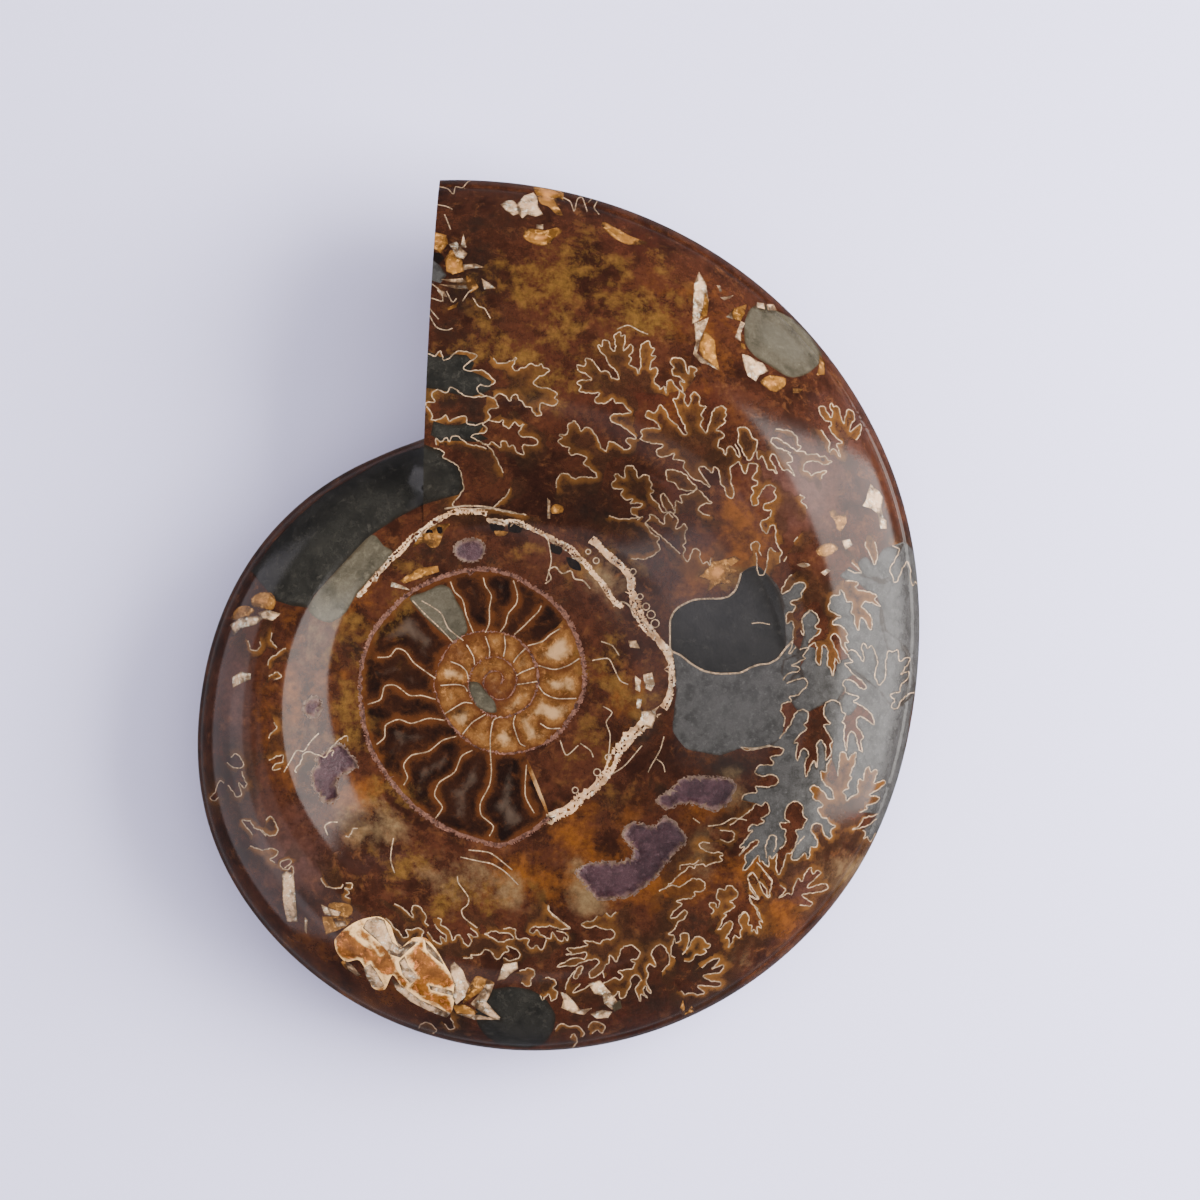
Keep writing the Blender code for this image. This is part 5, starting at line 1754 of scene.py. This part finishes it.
def add_panel(name, light_place, width, height, surface_brightness, in_polish=True):
    """A large flat light that faces the coil. Its brightness is that of its surface."""
    middle, colour = light_place
    data = bpy.data.lights.new(name, "AREA")
    data.shape, data.size, data.size_y = "RECTANGLE", width, height
    data.energy, data.color = surface_brightness * math.pi * width * height, colour
    light = bpy.data.objects.new(name, data)
    light.location = middle
    light.rotation_euler = (-Vector(middle)).to_track_quat("-Z", "Y").to_euler()
    light.visible_glossy = in_polish
    bpy.context.scene.collection.objects.link(light)


def add_camera():
    """A camera square to the coil's plane, level with the middle of the view."""
    square = LEAN @ Vector((0, 0, 1))
    right, down = (MIDDLE_STEP - COIL_STEP) * STEP
    aim = (Vector(coil_centre()[0]) + LEAN @ Vector((right, -down, 0))) * MM
    data = bpy.data.cameras.new("camera")
    data.sensor_width = 36.0
    data.lens = CAMERA_DISTANCE * data.sensor_width / VIEW_WIDTH
    data.clip_end = 10.0
    camera = bpy.data.objects.new("camera", data)
    camera.location = aim + square * CAMERA_DISTANCE * MM
    camera.rotation_euler = LEAN.to_euler()
    bpy.context.scene.collection.objects.link(camera)
    bpy.context.scene.camera = camera


# The soft lights are stacked panels, so that their images in the polish fade at the edges. Each has a share
# of the light, a width and a height.
WINDOW_STEPS = ((0.24, 1.4, 2.0), (0.26, 1.0, 0.9), (0.3, 0.7, 0.5), (0.2, 0.5, 0.3))
LEFT_STEPS = ((0.3, 2.2, 1.3), (0.25, 1.6, 0.9), (0.25, 1.1, 0.55), (0.2, 0.7, 0.3))
LOW_LEFT_WIDTH, LOW_LEFT_LIGHT = 0.4, 0.45
HIGH_LEFT_SIDE, HIGH_LEFT_LIGHT = 0.6, 0.4
SIDE_SIZE = (0.45, 0.35)
OVERHEAD_SIZE = (2.6, 2.6)

# Where the middle of each light stands, in metres from the origin, and its colour.
WINDOW = ((1.25, 0.02, 0.46), (1.0, 0.97, 0.95))
LEFT = ((-1.2, -0.1, 0.4), (0.95, 0.9, 1.0))
LOW_LEFT = ((-0.62, -0.6, 1.15), (1.0, 0.92, 0.98))
HIGH_LEFT = ((-0.95, -0.2, 0.85), (0.97, 0.96, 1.0))
SIDE = ((0.42, 0.04, 0.36), (0.98, 0.97, 1.0))
OVERHEAD = ((0.5, 0.1, 1.8), (0.97, 0.96, 1.0))
SKY_COLOUR = (0.9, 0.89, 1.0, 1.0)
FLOOR_ROUGHNESS = 0.9


class AddStage(bpy.types.Operator):
    """Add the pale floor, the soft light and the camera"""

    bl_idname = "ammonite.add_stage"
    bl_label = "Add Stage"

    def execute(self, context):
        settings = context.scene.ammonite_stage
        half = settings.floor_size / 2
        mesh = bpy.data.meshes.new("floor")
        corners = [(-half, -half, 0), (half, -half, 0), (half, half, 0), (-half, half, 0)]
        mesh.from_pydata(corners, [], [(0, 1, 2, 3)])
        floor = bpy.data.objects.new("floor", mesh)
        material = bpy.data.materials.new("pale_floor")
        material.use_nodes = True
        shader = material.node_tree.nodes["Principled BSDF"]
        shader.inputs["Base Color"].default_value = (*settings.floor_colour, 1.0)
        shader.inputs["Roughness"].default_value = FLOOR_ROUGHNESS
        mesh.materials.append(material)
        floor.visible_glossy = False
        context.scene.collection.objects.link(floor)
        for share, width, height in WINDOW_STEPS:
            add_panel("window", WINDOW, width, height, settings.window_brightness * share)
        for share, width, height in LEFT_STEPS:
            left = settings.left_brightness * share
            add_panel("left", LEFT, width, height, left)
            add_panel("low_left", LOW_LEFT, width * LOW_LEFT_WIDTH, height, left * LOW_LEFT_LIGHT)
            side = height * HIGH_LEFT_SIDE
            add_panel("high_left", HIGH_LEFT, side, side, left * HIGH_LEFT_LIGHT)
        add_panel("side", SIDE, *SIDE_SIZE, settings.side_brightness, in_polish=False)
        add_panel("overhead", OVERHEAD, *OVERHEAD_SIZE, settings.overhead_brightness, in_polish=False)
        world = bpy.data.worlds.new("even_light")
        world.use_nodes = True
        sky = world.node_tree.nodes["Background"].inputs
        sky["Color"].default_value = SKY_COLOUR
        sky["Strength"].default_value = settings.sky_strength
        context.scene.world = world
        add_camera()
        return {"FINISHED"}


class AmmonitePanel(bpy.types.Panel):
    """Lists the ammonite and its stage"""

    bl_idname = "AMMONITE_PT_panel"
    bl_label = "Fossil Ammonite"
    bl_space_type = "VIEW_3D"
    bl_region_type = "UI"
    bl_category = "Ammonite"

    def draw(self, context):
        panels = ((AddFossil, context.scene.fossil_settings), (AddStage, context.scene.ammonite_stage))
        for operator, settings in panels:
            column = self.layout.column(align=True)
            column.operator(operator.bl_idname)
            for name in settings.__annotations__:
                column.prop(settings, name)


CLASSES = (FossilSettings, StageSettings, AddFossil, AddStage, AmmonitePanel)


def register():
    for item in CLASSES:
        bpy.utils.register_class(item)
    bpy.types.Scene.fossil_settings = PointerProperty(type=FossilSettings)
    bpy.types.Scene.ammonite_stage = PointerProperty(type=StageSettings)


def unregister():
    del bpy.types.Scene.ammonite_stage
    del bpy.types.Scene.fossil_settings
    for item in reversed(CLASSES):
        bpy.utils.unregister_class(item)


def main():
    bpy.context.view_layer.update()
    register()
    bpy.ops.ammonite.add_fossil()
    bpy.ops.ammonite.add_stage()


if __name__ == "__main__":
    main()
